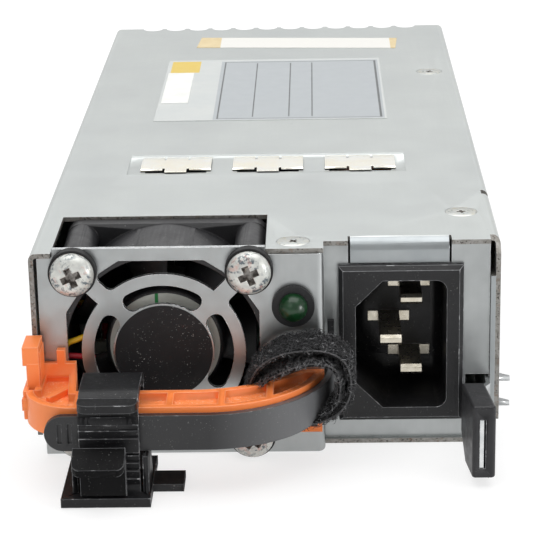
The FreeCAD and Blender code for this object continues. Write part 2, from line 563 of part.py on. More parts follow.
def build_top_cover():
    """The upper shell: top and side skirts, with its openings, recess, notches and ear."""
    body = start_body()
    inner = "cover_edge_radius - cover_sheet"
    shoulder = f"{HALF} - cover_edge_radius"
    pad(body, "XZ", "-left_wall_overhang", "case_depth + left_wall_overhang", [[
        (f"-({HALF})", "cover_skirt_gap"), (f"-{INNER_HALF}", "cover_skirt_gap"),
        (f"-{INNER_HALF}", "case_height - cover_edge_radius"),
        (f"-({shoulder})", COVER_UNDER, f"-({inner})"),
        (shoulder, COVER_UNDER),
        (INNER_HALF, "case_height - cover_edge_radius", f"-({inner})"),
        (INNER_HALF, "cover_skirt_gap"), (HALF, "cover_skirt_gap"),
        (HALF, "case_height - cover_edge_radius"),
        (shoulder, "case_height", "cover_edge_radius"),
        (f"-({shoulder})", "case_height"),
        (f"-({HALF})", "case_height - cover_edge_radius", "cover_edge_radius"),
    ]])
    clear = "left_wall_overhang + 1"
    pocket(body, "XY", "-1", "case_height + 2", [[
        (OPENING_X0, f"-({clear})"), (f"{HALF} + 1", f"-({clear})"),
        (f"{HALF} + 1", "right_wall_setback"),
        ("tongue_right + tongue_slot", "right_wall_setback"), ("tongue_right + tongue_slot", "tongue_root"),
        ("tongue_left - tongue_slot", "tongue_root"), ("tongue_left - tongue_slot", "right_wall_setback"),
        ("panel_step_x", "right_wall_setback"), ("panel_step_x", "cover_led_setback"),
        (OPENING_X1, "cover_led_setback"), (OPENING_X1, "opening_depth"), (OPENING_X0, "opening_depth"),
    ]])
    pad(body, "YZ", "tongue_left", "tongue_right - tongue_left", [[
        ("inlet_recess", "tongue_bottom"), ("inlet_recess + cover_sheet", "tongue_bottom"),
        ("inlet_recess + cover_sheet", "case_height - tongue_radius"),
        ("inlet_recess + tongue_radius", COVER_UNDER, "-(tongue_radius - cover_sheet)"),
        ("tongue_root + cover_sheet", COVER_UNDER), ("tongue_root + cover_sheet", "case_height"),
        ("inlet_recess + tongue_radius", "case_height"),
        ("inlet_recess", "case_height - tongue_radius", "tongue_radius"),
    ]])
    pad(body, "YZ", f"-({HALF})", "cover_sheet",
        [rectangle("-ear_reach", "ear_bottom", "-left_wall_overhang / 2", "ear_top")])
    pocket(body, "YZ", f"{INNER_HALF} - 1", "cover_sheet + 2", [[
        ("right_wall_setback - 1", "case_height - wall_corner_chamfer - 1"),
        ("right_wall_setback + wall_corner_chamfer + 1", "case_height + 1"),
        ("right_wall_setback - 1", "case_height + 1"),
    ]])
    pocket(body, "XY", "case_height - recess_drop", "cover_sheet",
           [rectangle("-recess_left", "recess_start", "recess_right", "recess_start + recess_length")])
    for step in (-1, 0, 1):
        centre = f"contact_centre + {step} * contact_pitch"
        rim = "contact_window_rim"
        pocket(body, "XY", f"{COVER_UNDER} - 1", "cover_sheet + 2", [rectangle(
            f"{centre} - contact_width / 2 + {rim}", f"{CONTACT_START} + {rim}",
            f"{centre} + contact_width / 2 - {rim}", f"{CONTACT_START} + contact_length - {rim}")])
    pocket(body, "XY", "case_height - edge_slot_depth", "edge_slot_depth + 1", [rectangle(
        f"{HALF} - edge_slot_depth", "edge_slot_y", f"{HALF} + 1", "edge_slot_y + edge_slot_length")])
    notch = pocket(body, "XY", f"{COVER_UNDER} - 1", "cover_sheet + 2",
                   [("circle", "-(notch_count - 1) * notch_pitch / 2", "case_depth", "notch_radius")])
    repeat_along(body, notch, "notch_count", "notch_pitch")
    pocket(body, "XY", f"{COVER_UNDER} - 1", "cover_sheet + 2",
           [("circle", x, y, "cover_screw_radius + seat_gap") for x, y in COVER_SCREWS])
    pocket(body, "XY", "case_height - cover_screw_head_height", "cover_sheet",
           [("circle", x, y, "cover_screw_head_radius + seat_gap") for x, y in COVER_SCREWS])
    pocket(body, "YZ", INNER_HALF + " - 1", "cover_sheet + 2", tooth_slots())
    return node(body, "top_cover")


def build_cover_screws():
    """Countersunk screws, heads flush with the cover."""
    screws = []
    for x, y in COVER_SCREWS:
        head_bottom = "case_height - cover_screw_head_height"
        shank = rod(x, y, f"{head_bottom} - cover_screw_length", "cover_screw_radius", "cover_screw_length")
        head = rod(x, y, head_bottom, "cover_screw_head_radius", "cover_screw_head_height")
        screws.append(fuse([shank, head]))
    return node(group(screws), "cover_screws")


def build_contact_springs():
    """Three clip-in strips, each bowed and slit into three fingers at both ends."""
    strips = []
    floor = "(case_height - recess_drop)"
    rear = f"({CONTACT_START} + contact_length)"
    low = f"({CONTACT_START} + contact_window_rim / 2)"
    high = f"({rear} - contact_window_rim / 2)"
    bow = "((contact_length - contact_window_rim) ^ 2 / (8 * contact_rise) + contact_rise / 2)"
    finger = "((contact_width - 2 * finger_gap) / 3)"
    for step in (-1, 0, 1):
        body = start_body()
        left = f"(contact_centre + {step} * contact_pitch - contact_width / 2)"
        pad(body, "XY", floor, "contact_sheet",
            [rectangle(left, f"{rear} - contact_window_rim", f"{left} + contact_width", rear)])
        pad(body, "YZ", left, "contact_width", [[
            (low, floor), (high, floor, f"-{bow}"),
            (high, f"{floor} + contact_sheet"), (low, f"{floor} + contact_sheet", f"{bow} + contact_sheet"),
        ]])
        cuts = []
        for count in (1, 2):
            start = f"({left} + {count} * {finger} + {count - 1} * finger_gap)"
            end = f"{start} + finger_gap"
            cuts.append(rectangle(start, f"{rear} - finger_rear_slit", end, f"{rear} + 1"))
            cuts.append(rectangle(start, f"{CONTACT_START} + finger_setback", end,
                                  f"{CONTACT_START} + finger_front_slit"))
        cuts.append(rectangle(f"{left} + {finger}", f"{CONTACT_START} - 1",
                              f"{left} + 2 * ({finger} + finger_gap)", f"{CONTACT_START} + finger_setback"))
        for corners in cuts:
            pocket(body, "XY", f"{floor} - 1", "contact_rise + 2", [corners])
        strips.append(body)
    return node(group(strips), "contact_springs")


def build_front_panel():
    """One folded sheet: fan wall with its finger guard, indicator wall, and the inlet wall set back."""
    body = start_body()
    back = "inlet_recess + panel_sheet"
    pad(body, "XY", 0, "panel_top", [[
        ("-panel_left", 0), ("panel_step_x", 0), ("panel_step_x", "inlet_recess"),
        ("panel_right", "inlet_recess"), ("panel_right", back),
        ("panel_step_x - panel_sheet", back), ("panel_step_x - panel_sheet", "panel_sheet"),
        ("-panel_left", "panel_sheet"),
    ]])
    pocket(body, "XZ", -1, "inlet_recess + 2 * panel_sheet + 1",
           [rectangle(f"{OPENING_X1} - seat_gap", COVER_UNDER, "panel_right + 1", "panel_top + 1"),
            rectangle("-panel_left - 1", COVER_UNDER, f"{OPENING_X0} + seat_gap", "panel_top + 1"),
            rectangle("panel_step_x", -1, "panel_right + 1", "tray_sheet")])
    dress(body, "Fillet", "panel_bend_radius", "z",
          lambda middle: middle.y < TOUCH and middle.x > value("panel_step_x") - TOUCH)
    pad(body, "XY", 0, "tray_sheet", [rectangle(
        "-panel_left", "panel_sheet / 2", "panel_step_x - panel_bend_radius", "panel_lip")])
    dress(body, "Fillet", "panel_lip_radius", "x", lambda middle: middle.y < TOUCH and middle.z < TOUCH)
    pad(body, "XY", f"{COVER_UNDER} - panel_sheet", "panel_sheet", [rectangle(
        "led_flange_left", "panel_sheet / 2", "panel_step_x - panel_sheet", "panel_sheet + led_flange_depth")])
    pocket(body, "XY", f"{COVER_UNDER} - panel_sheet - 1", "panel_sheet + 2",
           [("circle", "cover_screw_x_led", "cover_screw_y_led", "cover_screw_radius + seat_gap")])
    cut_finger_guard(body)
    pocket(body, "XZ", -1, "panel_sheet + 2",
           [("circle", f"{sx} * fan_hole_pitch / 2", f"{sz} * fan_hole_pitch / 2", "screw_radius + seat_gap")
            for sx in (-1, 1) for sz in (-1, 1)], origin=("fan_x", "fan_z"))
    pocket(body, "XZ", -1, "panel_sheet + 2", [("circle", "led_x", "led_z", "bezel_barrel + seat_gap")])
    pocket(body, "XZ", "inlet_recess - 1", "panel_sheet + 2", [
        rectangle("inlet_x - inlet_body_width / 2 - seat_gap", "inlet_z - inlet_body_height / 2 - seat_gap",
                  "inlet_x + inlet_body_width / 2 + seat_gap", "inlet_z + inlet_body_height / 2 + seat_gap"),
        rectangle("tongue_left - tongue_slot", "tongue_bottom - trim_gap",
                  "tongue_right + tongue_slot", "case_height"),
        rectangle("latch_port_left", "tray_sheet", "panel_right + 1", "latch_port_top"),
    ])
    low = f"{HANDLE_BOTTOM} + tenon_inset"
    pocket(body, "XZ", -1, "panel_sheet + 2", [
        rectangle(f"{left} - tenon_play", f"{low} - tenon_play",
                  f"{left} + tenon_width + tenon_play", f"{low} + tenon_height + tenon_play")
        for left in TENONS])
    return node(body, "front_panel")


def on_diagonal(radius, side):
    """Where a circle meets a line that runs beside the 45 degree diagonal, above it."""
    step = f"({side} * sqrt(2))"
    reach = f"sqrt(2 * {radius} ^ 2 - {step} ^ 2)"
    return f"({reach} - {step}) / 2", f"({reach} + {step}) / 2"


def cut_finger_guard(body):
    """Cut four outer windows and four arc slots, which leaves the spokes, ring and disc."""
    spoke = "(guard_spoke / 2)"
    ring_x, ring_z = on_diagonal("guard_ring_outer", spoke)
    window = pocket(body, "XZ", -1, "panel_sheet + 2", [[
        ("-guard_straight", "guard_border"),
        ("-guard_corner", f"guard_corner + {spoke} * sqrt(2)"),
        (f"-({ring_x})", ring_z), (ring_x, ring_z, "-guard_ring_outer"),
        ("guard_corner", f"guard_corner + {spoke} * sqrt(2)"), ("guard_straight", "guard_border"),
    ]], origin=("fan_x", "fan_z"))
    repeat_round(body, window, 4)
    dress(body, "Fillet", "guard_fillet", "y", near_fan("guard_ring_outer", "guard_border + 4"))
    outer_x, outer_z = on_diagonal("guard_ring_inner", "(guard_web / 2)")
    inner_x, inner_z = on_diagonal("guard_disc", "(guard_web / 2)")
    slot = pocket(body, "XZ", -1, "panel_sheet + 2", [[
        (f"-({outer_x})", outer_z, "guard_ring_inner"), (f"-({inner_x})", inner_z),
        (inner_x, inner_z, "-guard_disc"), (outer_x, outer_z),
    ]], origin=("fan_x", "fan_z"))
    repeat_round(body, slot, 4)
    dress(body, "Fillet", "guard_slot_fillet", "y", near_fan("guard_disc - 1", "guard_ring_inner + 0.1"))


def near_fan(inner, outer):
    """A test for points between two distances from the fan's axis."""
    low, high = value(inner), value(outer)
    centre_x, centre_z = value("fan_x"), value("fan_z")
    return lambda point: low < math.hypot(point.x - centre_x, point.z - centre_z) < high


def build_rear_panel():
    """The perforated rear wall, with a port for the board's edge and half-round notches on top."""
    body = start_body()
    start = "case_depth - panel_sheet"
    corner = "(tray_bend_radius - tray_sheet)"
    pad(body, "XZ", start, "panel_sheet", [[
        (f"-({TRAY_INNER} - seat_gap - {corner})", FLOOR_TOP), (f"{TRAY_INNER} - seat_gap - {corner}", FLOOR_TOP),
        (f"{TRAY_INNER} - seat_gap", f"{FLOOR_TOP} + {corner}"), (f"{TRAY_INNER} - seat_gap", COVER_UNDER),
        (f"-({TRAY_INNER} - seat_gap)", COVER_UNDER), (f"-({TRAY_INNER} - seat_gap)", f"{FLOOR_TOP} + {corner}"),
    ]])
    pad(body, "XY", f"{COVER_UNDER} - panel_sheet", "panel_sheet", [rectangle(
        f"-({TRAY_INNER} - 1)", "case_depth - panel_sheet - rear_lip", f"{TRAY_INNER} - 1", start)])
    notch = pocket(body, "XZ", "case_depth - panel_sheet - rear_lip - 1", "panel_sheet + rear_lip + 2", [(
        "circle", "-(notch_count - 1) * notch_pitch / 2", COVER_UNDER, "notch_radius")])
    repeat_along(body, notch, "notch_count", "notch_pitch")
    for row in range(int(value("vent_rows"))):
        vent = pocket(body, "XZ", f"{start} - 1", "panel_sheet + 2", [(
            "circle", "-(notch_count - 1) * notch_pitch / 2", f"vent_first + {row} * vent_row_pitch",
            "notch_radius")])
        repeat_along(body, vent, "notch_count", "notch_pitch")
    pocket(body, "XZ", f"{start} - 1", "panel_sheet + 2", [rectangle(
        "-edge_port_half", "edge_port_bottom", "edge_port_half", "edge_port_bottom + edge_port_height")])
    return node(body, "rear_panel")


# ---- fan ----------------------------------------------------------------------------------

FAN_Y = "(panel_sheet + seat_gap)"


def build_fan_frame():
    """The fan's housing: two flanges, a drum and corner posts, struts and a bearing tube."""
    body = start_body()
    half = "fan_size / 2"
    square = round_rectangle(f"-{half}", f"-{half}", half, half, "fan_corner_radius")
    posts = [("circle", f"{sx} * fan_hole_pitch / 2", f"{sz} * fan_hole_pitch / 2", "fan_post")
             for sx in (-1, 1) for sz in (-1, 1)]
    screws = [("circle", x, z, "fan_hole_radius") for _, x, z, _ in posts]
    pad(body, "XZ", 0, "fan_flange", [square])
    pad(body, "XZ", "fan_flange", "fan_depth - 2 * fan_flange", [("circle", 0, 0, "fan_drum")])
    for post in posts:
        pad(body, "XZ", "fan_flange", "fan_depth - 2 * fan_flange", [post])
    pad(body, "XZ", "fan_depth - fan_flange", "fan_flange", [square])
    pocket(body, "XZ", -1, "fan_depth + 2", [("circle", 0, 0, "fan_bore")])
    pocket(body, "XZ", -1, "fan_depth + 2", screws)
    strut = "fan_depth - fan_strut_depth"
    pad(body, "XZ", strut, "fan_strut_depth", [rectangle(
        "-fan_drum + 0.4", "-fan_strut_width / 2", "fan_drum - 0.4", "fan_strut_width / 2")])
    pad(body, "XZ", strut, "fan_strut_depth", [rectangle(
        "-fan_strut_width / 2", "-fan_drum + 0.4", "fan_strut_width / 2", "fan_drum - 0.4")])
    pad(body, "XZ", strut, "fan_strut_depth", [("circle", 0, 0, "fan_cup_radius")])
    pad(body, "XZ", f"{strut} - bearing_tube_length", "bearing_tube_length",
        [("circle", 0, 0, "bearing_tube_radius")])
    pocket(body, "XZ", f"{strut} - bearing_tube_length - 1", "bearing_tube_length + fan_strut_depth",
           [("circle", 0, 0, "bearing_radius")])
    return node(body, "fan_frame", "fan_x", "fan_z", FAN_Y)


def build_fan_rotor():
    """The hub cup with swept blades."""
    body = start_body()
    back = "hub_setback + hub_depth"
    hub = revolve(body, "XY", [[
        ("shaft_radius", "hub_setback"), ("hub_radius - hub_edge", "hub_setback"),
        ("hub_radius", "hub_setback + hub_edge"), ("hub_radius", back), ("hub_radius - hub_wall", back),
        ("hub_radius - hub_wall", "hub_setback + hub_wall"), ("shaft_radius", "hub_setback + hub_wall"),
    ]], "V_Axis")
    feature = body.newObject("PartDesign::AdditiveLoft", "Blade")
    start = "(hub_setback + blade_start)"
    sections = []
    for radius, sweep in (("hub_radius - hub_wall / 2", "blade_root_sweep"), ("blade_tip", "blade_tip_sweep")):
        end = f"{start} + blade_length"
        sections.append(draw(body, "YZ", radius, [[
            (start, f"-{sweep}"), (end, f"{sweep}", "-blade_camber"),
            (end, f"{sweep} + blade_thick"), (start, f"-{sweep} + blade_thick", "blade_camber"),
        ]]))
    feature.Profile = sections[0]
    feature.Sections = [sections[1]]
    document.recompute()
    repeat_round(body, feature, "blade_count", (hub.Profile[0], ["V_Axis"]))
    return node(body, "fan_rotor", "fan_x", "fan_z", FAN_Y)


BEARING_START = "fan_depth - fan_strut_depth - bearing_tube_length"


def build_fan_core():
    """Shaft, two bearings, stator and the hub's label."""
    shaft = rod(0, "hub_setback", 0, "shaft_radius", "fan_depth - fan_strut_depth / 2 - hub_setback", "Y")
    node(group([shaft]), "fan_shaft", "fan_x", "fan_z", FAN_Y)
    rings = []
    for start in (BEARING_START, "fan_depth - fan_strut_depth - bearing_length"):
        ring = rod(0, start, 0, "bearing_radius", "bearing_length", "Y")
        bore = rod(0, f"{start} - 1", 0, "shaft_radius + shaft_clearance", "bearing_length + 2", "Y")
        rings.append(cut(ring, [bore]))
    node(group(rings), "fan_bearings", "fan_x", "fan_z", FAN_Y)
    body = start_body()
    start = "fan_depth - fan_strut_depth - stator_length"
    pad(body, "XZ", start, "stator_length",
        [("circle", 0, 0, "stator_radius"), ("circle", 0, 0, "bearing_tube_radius")])
    slot = pocket(body, "XZ", f"{start} - 1", "stator_length / 2", [rectangle(
        "bearing_tube_radius + 1", "-stator_slot_width / 2", "stator_radius + 1", "stator_slot_width / 2")])
    repeat_round(body, slot, "stator_slots")
    node(body, "fan_stator", "fan_x", "fan_z", FAN_Y)
    label = rod(0, "hub_setback - hub_label_thickness", 0, "hub_radius - hub_edge", "hub_label_thickness", "Y")
    node(group([label]), "fan_hub_label", "fan_x", "fan_z", FAN_Y)
    sticker = rod(0, "-guard_sticker_thickness", 0, "guard_sticker_radius", "guard_sticker_thickness", "Y")
    node(group([sticker]), "guard_sticker", "fan_x", "fan_z")


def build_fan_fixings():
    """Four pan-head screws, each over a rubber washer, from the panel into the fan's posts."""
    screws = []
    washers = []
    for sx in (-1, 1):
        for sz in (-1, 1):
            x, z = f"{sx} * fan_hole_pitch / 2", f"{sz} * fan_hole_pitch / 2"
            head = rod(x, "-grommet_height - screw_head_height", z, "screw_head_radius", "screw_head_height", "Y")
            shank = rod(x, "-grommet_height - 0.5", z, "screw_radius", "screw_length + 0.5", "Y")
            screws.append(fuse([head, shank]))
            disc = rod(x, "-grommet_height", z, "grommet_radius", "grommet_height", "Y")
            bore = rod(x, "-grommet_height - 1", z, "screw_radius", "grommet_height + 2", "Y")
            washers.append(cut(disc, [bore]))
    node(group(screws), "fan_screws", "fan_x", "fan_z")
    node(group(washers), "fan_grommets", "fan_x", "fan_z")


# ---- indicator and appliance inlet --------------------------------------------------------

def build_indicator():
    """A snap-in bezel with the domed lamp inside it."""
    flange = rod(0, "-bezel_reach", 0, "bezel_radius", "bezel_reach", "Y")
    barrel = rod(0, "-bezel_reach", 0, "bezel_barrel", "bezel_reach + bezel_length", "Y")
    bore = rod(0, "-bezel_reach - 1", 0, "lens_radius", "bezel_reach + bezel_length + 2", "Y")
    node(cut(fuse([flange, barrel]), [bore]), "led_bezel", "led_x", "led_z")
    stem = rod(0, "-lens_reach", 0, "lens_radius", "lens_reach + lens_length", "Y")
    dome = document.addObject("Part::Sphere", "Dome")
    bind(dome, "Radius", "lens_radius")
    locate(dome, 0, "-lens_reach", 0)
    node(fuse([stem, dome]), "led_lens", "led_x", "led_z")


def cavity_outline(inset):
    """The appliance inlet's outline: two bevelled corners on the left, two rounded on the right."""
    half_w, half_h = f"(cavity_width / 2 - {inset})", f"(cavity_height / 2 - {inset})"
    bevel = f"(cavity_chamfer - {inset} * 0.586)"
    return [
        (f"-{half_w} + {bevel}", f"-{half_h}"), (f"{half_w} - cavity_radius", f"-{half_h}"),
        (half_w, f"-{half_h} + cavity_radius", "cavity_radius"), (half_w, f"{half_h} - cavity_radius"),
        (f"{half_w} - cavity_radius", half_h, "cavity_radius"), (f"-{half_w} + {bevel}", half_h),
        (f"-{half_w}", f"{half_h} - {bevel}"), (f"-{half_w}", f"-{half_h} + {bevel}"),
    ]


INLET_BLADES = [
    ("line_offset", "blade_pitch / 2", "line_blade_length"),
    ("line_offset", "-blade_pitch / 2", "line_blade_length"),
    ("line_offset - earth_offset", "0", "earth_blade_length"),
]


def build_inlet():
    """The moulded inlet and its three blades, with solder tabs behind."""
    body = start_body()
    flange = rectangle("-inlet_width / 2", "-inlet_height / 2", "inlet_width / 2", "inlet_height / 2")
    pad(body, "XZ", "-inlet_flange", "inlet_flange", [flange])
    for axis in ("x", "z"):
        dress(body, "Chamfer", "inlet_bevel", axis, lambda middle: middle.y < -value("inlet_flange") + TOUCH)
    pad(body, "XZ", 0, "inlet_body_depth", [round_rectangle(
        "-inlet_body_width / 2", "-inlet_body_height / 2", "inlet_body_width / 2", "inlet_body_height / 2", "inlet_bevel")])
    pocket(body, "XZ", "-inlet_flange - 1", "cavity_depth + 1", [cavity_outline("0")])
    for x, z, _ in INLET_BLADES:
        pocket(body, "XZ", "cavity_depth - inlet_flange - 1", "inlet_body_depth", [rectangle(
            f"{x} - inlet_root_wide / 2", f"{z} - inlet_blade_tall / 2",
            f"{x} + inlet_root_wide / 2", f"{z} + inlet_blade_tall / 2")])
    node(body, "inlet_body", "inlet_x", "inlet_z", "inlet_recess")
    floor = "cavity_depth - inlet_flange"
    blades = [build_inlet_blade(x, z, f"({floor} - {length})") for x, z, length in INLET_BLADES]
    node(group(blades), "inlet_blades", "inlet_x", "inlet_z", "inlet_recess")


def build_inlet_blade(x, z, tip):
    """One flat blade with a bevelled tip in front and a solder tab behind."""
    body = start_body()
    pad(body, "XZ", tip, f"inlet_body_depth - {tip}", [rectangle(
        f"{x} - inlet_blade_wide / 2", f"{z} - inlet_blade_tall / 2",
        f"{x} + inlet_blade_wide / 2", f"{z} + inlet_blade_tall / 2")])
    front = value(tip) + TOUCH
    dress(body, "Chamfer", "inlet_blade_chamfer", "x", lambda middle: middle.y < front)
    root = "(cavity_depth - inlet_flange - inlet_root_proud)"
    pad(body, "XZ", root, f"inlet_body_depth - {root}", [rectangle(
        f"{x} - inlet_root_wide / 2", f"{z} - inlet_blade_tall / 2",
        f"{x} + inlet_root_wide / 2", f"{z} + inlet_blade_tall / 2")])
    pad(body, "XZ", "inlet_body_depth", "inlet_tab_length", [rectangle(
        f"{x} - inlet_tab_wide / 2", f"{z} - inlet_tab_tall / 2",
        f"{x} + inlet_tab_wide / 2", f"{z} + inlet_tab_tall / 2")])
    return body


# ---- release latch ------------------------------------------------------------------------

LEAF_OUTER = f"({TRAY_INNER} - leaf_wall_gap)"
CAP_SLOT = "(cap_inner_back + cap_slot_inset)"


def cap_shift(y):
    """How far the leaning cap has moved across at a given depth."""
    return f"(cap_lean * (cap_back - ({y})) / (cap_back - cap_front))"


def build_latch():
    """A spring leaf held at its rear, with two teeth and a moulded cap on its front."""
    root = start_body()
    pad(root, "XY", "leaf_bottom", "leaf_height", [rectangle(
        f"{LEAF_OUTER} - leaf_sheet", "leaf_pivot + leaf_root_gap / 2", LEAF_OUTER,
        "leaf_pivot + leaf_root_gap / 2 + leaf_root_length")])
    rivet_y = "leaf_pivot + leaf_root_length / 2"
    pad(root, "YZ", f"{LEAF_OUTER} - 2 * leaf_sheet", "leaf_sheet",
        [("circle", f"{rivet_y} + {side} * leaf_root_length / 4", "leaf_bottom + leaf_height / 2", "leaf_height / 5")
         for side in (-1, 1)])
    pad(root, "YZ", LEAF_OUTER, "leaf_wall_gap",
        [("circle", f"{rivet_y} + {side} * leaf_root_length / 4", "leaf_bottom + leaf_height / 2", "leaf_height / 5")
         for side in (-1, 1)])
    node(root, "latch_root")
    leaf = start_body()
    tip = "(cap_front + cap_slot_depth)"
    pad(leaf, "XY", "leaf_bottom", "leaf_height", [[
        (f"{CAP_SLOT} + {cap_shift(tip)}", tip), (f"{CAP_SLOT} + {cap_shift(tip)} + leaf_sheet", tip),
        (f"{CAP_SLOT} + leaf_sheet", "cap_back"), (LEAF_OUTER, "leaf_front_lean"),
        (LEAF_OUTER, "leaf_pivot - leaf_root_gap / 2"),
        (f"{LEAF_OUTER} - leaf_sheet", "leaf_pivot - leaf_root_gap / 2"),
        (f"{LEAF_OUTER} - leaf_sheet", "leaf_front_lean + leaf_sheet / 2"),
        (CAP_SLOT, "cap_back + leaf_sheet / 3"),
    ]])
    for low in ("tooth_low", "tooth_high"):
        pad(leaf, "XY", low, "tooth_sheet", [[
            (f"{LEAF_OUTER} - leaf_sheet / 2", "tooth_start"), (f"{HALF} + tooth_reach", "tooth_start"),
            (f"{HALF} + tooth_reach", "tooth_start + tooth_sheet"), (LEAF_OUTER, "tooth_start + tooth_length"),
            (f"{LEAF_OUTER} - leaf_sheet / 2", "tooth_start + tooth_length"),
        ]])
    node(leaf, "latch_leaf")
    cap = start_body()
    pad(cap, "XY", "cap_bottom", "cap_top - cap_bottom", [[
        ("cap_inner_back + cap_lean", "cap_front"), ("cap_outer_back + cap_lean", "cap_front"),
        ("cap_outer_back", "cap_back"), ("cap_inner_back", "cap_back"),
    ]])
    pocket(cap, "YZ", "cap_inner_back - 1", "cap_outer_back + cap_lean - cap_inner_back + 2", [[
        ("cap_back + 1", "cap_bottom - 1"), ("cap_back + 1", "cap_slant_start"),
        ("cap_back", "cap_slant_start"), ("cap_back - cap_slant_start + cap_bottom", "cap_bottom"),
        ("cap_back - cap_slant_start + cap_bottom", "cap_bottom - 1"),
    ]])
    dress(cap, "Fillet", "cap_fillet", "z", lambda middle: middle.y < value("cap_front") + TOUCH)
    slot_low, slot_high = "leaf_bottom - seat_gap", "leaf_bottom + leaf_height + seat_gap"
    front, back = "cap_front - weld", "cap_back + weld"
    pocket(cap, "XY", slot_low, f"{slot_high} - ({slot_low})", [[
        (f"{CAP_SLOT} + {cap_shift(front)} - seat_gap", front),
        (f"{CAP_SLOT} + {cap_shift(front)} + leaf_sheet + seat_gap", front),
        (f"{CAP_SLOT} + {cap_shift(back)} + leaf_sheet + seat_gap", back),
        (f"{CAP_SLOT} + {cap_shift(back)} - seat_gap", back),
    ]])
    node(cap, "latch_cap")


# ---- handle, strap and tape ---------------------------------------------------------------

def handle_outline(inset):
    """The handle's plan: a drum end, a straight arm and a bend that runs back to the panel."""
    bend = f"({BEND_RADIUS} - {inset})"
    inner_y = f"(-(arm_front - arm_width) - {inset})"
    inner_radius = f"(inner_bend_radius + {inset})"
    inner_centre = "(inner_bend_radius - arm_front + arm_width)"
    rear = f"(-handle_gap - {inset})"
    return [
        (f"-drum_left + {inset}", rear), (f"-drum_left + {inset}", "-drum_step"),
        (f"-drum_left - drum_bulge + {inset}", f"-drum_step - {inset} / 4"),
        ("-drum_corner_x", f"-arm_front + {inset}", f"drum_radius - {inset} / 2"),
        ("bend_x", f"-arm_front + {inset}"),
        (f"bend_x + sqrt({bend} ^ 2 - (bend_y - {rear}) ^ 2)", rear, bend),
        (f"inner_bend_x + sqrt({inner_radius} ^ 2 - ({inner_centre} - {rear}) ^ 2)", rear),
        ("inner_bend_x", inner_y, f"-{inner_radius}"),
        (f"-drum_neck_x - {inset}", inner_y), (f"-drum_rear_x - {inset}", rear),
    ]


def build_handle():
    """The moulded handle: ribbed pockets on top, a hook over the left wall, feet and tenons at the panel."""
    body = start_body()
    pad(body, "XY", HANDLE_BOTTOM, "handle_thick", [handle_outline("0")])
    pocket(body, "XY", "handle_top - pocket_depth", "pocket_depth + 1", [handle_outline("handle_rim")])
    bend = "bend_y - sqrt((arm_front + bend_y) ^ 2 - ({0} - bend_x) ^ 2) + handle_rim / 2"
    inner = "inner_bend_radius - arm_front + arm_width"
    inner += " - sqrt(inner_bend_radius ^ 2 - ({0} - inner_bend_x) ^ 2) - handle_rim / 2"
    straight = ("-arm_front + handle_rim / 2", "-(arm_front - arm_width) - handle_rim / 2")
    ribs = [("rib_drum", *straight), ("rib_first", *straight)]
    ribs += [(middle, bend.format(middle), inner.format(middle)) for middle in ("rib_second", "rib_third")]
    for middle, front, back in ribs:
        pad(body, "XY", "handle_top - pocket_depth", "pocket_depth", [rectangle(
            f"{middle} - rib_width / 2", front, f"{middle} + rib_width / 2", back)])
    pad(body, "XY", "handle_top - weld", "ledge_rise + weld", [rectangle(
        "-drum_left", "-handle_gap - ledge_depth", "-drum_rear_x", "-handle_gap")])
    pad(body, "XY", "handle_top + ledge_rise - weld", "post_rise + weld", [rectangle(
        "post_x", "-handle_gap - ledge_depth", "post_x + post_width", "-handle_gap")])
    rear = "-left_wall_overhang - trim_gap"
    pad(body, "XY", "handle_top - weld", "hook_bottom - handle_top + 2 * weld", [rectangle(
        "-drum_left", "-hook_front + neck_width", "-drum_left + neck_width", rear)])
    pad(body, "XY", "hook_bottom", "hook_top - hook_bottom", [rectangle(
        "-hook_left", "-hook_front", "-hook_left + hook_width", rear)])
    bulge = "-drum_left - drum_bulge"
    pad(body, "XY", "bump_bottom", "bump_height", [rectangle(
        f"{bulge} - bump_reach", "-bump_front", f"{bulge} + weld", "-bump_front + bump_length")])
    pad(body, "XY", "foot_bottom", f"{HANDLE_BOTTOM} - foot_bottom + weld", [rectangle(
        f"{FOOT_RIGHT} - foot_width", "-handle_gap - foot_depth", FOOT_RIGHT, "-handle_gap")])
    for left in TENONS:
        pad(body, "XY", f"{HANDLE_BOTTOM} + tenon_inset", "tenon_height", [rectangle(
            left, "-handle_gap - weld", f"{left} + tenon_width", "panel_sheet")])
    return node(body, "handle")


def build_strap():
    """The nylon strap that hugs the handle's outside, and the anchor at its rear end."""
    body = start_body()
    inner = f"({BEND_RADIUS} + strap_gap)"
    outer = f"({BEND_RADIUS} + strap_gap + strap_thick)"
    half = "(strap_height / 2)"
    pad(body, "XY", "strap_bottom", "strap_height", [[
        (f"strap_end_x + {half}", f"bend_y - {outer}"), ("bend_x", f"bend_y - {outer}"),
        (f"bend_x + {outer}", "bend_y", outer), (f"bend_x + {inner}", "bend_y"),
        ("bend_x", f"bend_y - {inner}", f"-{inner}"), (f"strap_end_x + {half}", f"bend_y - {inner}"),
    ]])
    centre = f"strap_bottom + {half}"
    pad(body, "XZ", f"bend_y - {outer}", "strap_thick", [("circle", f"strap_end_x + {half}", centre, half)])
    grooves = [rectangle(
        f"strap_end_x + strap_groove_inset + {step} * strap_groove_pitch", "strap_bottom + strap_groove_margin",
        f"strap_end_x + strap_groove_inset + {step} * strap_groove_pitch + strap_groove_width",
        "strap_bottom + strap_height - strap_groove_margin") for step in (0, 1)]
    pocket(body, "XZ", f"bend_y - {outer} - 1", "strap_groove_depth + 1", grooves)
    node(body, "strap")
    anchor = box(f"bend_x + {inner}", "bend_y + seat_gap", "anchor_bottom",
                 "strap_thick", "inlet_recess - bend_y - seat_gap", "anchor_height")
    node(group([anchor]), "strap_anchor")


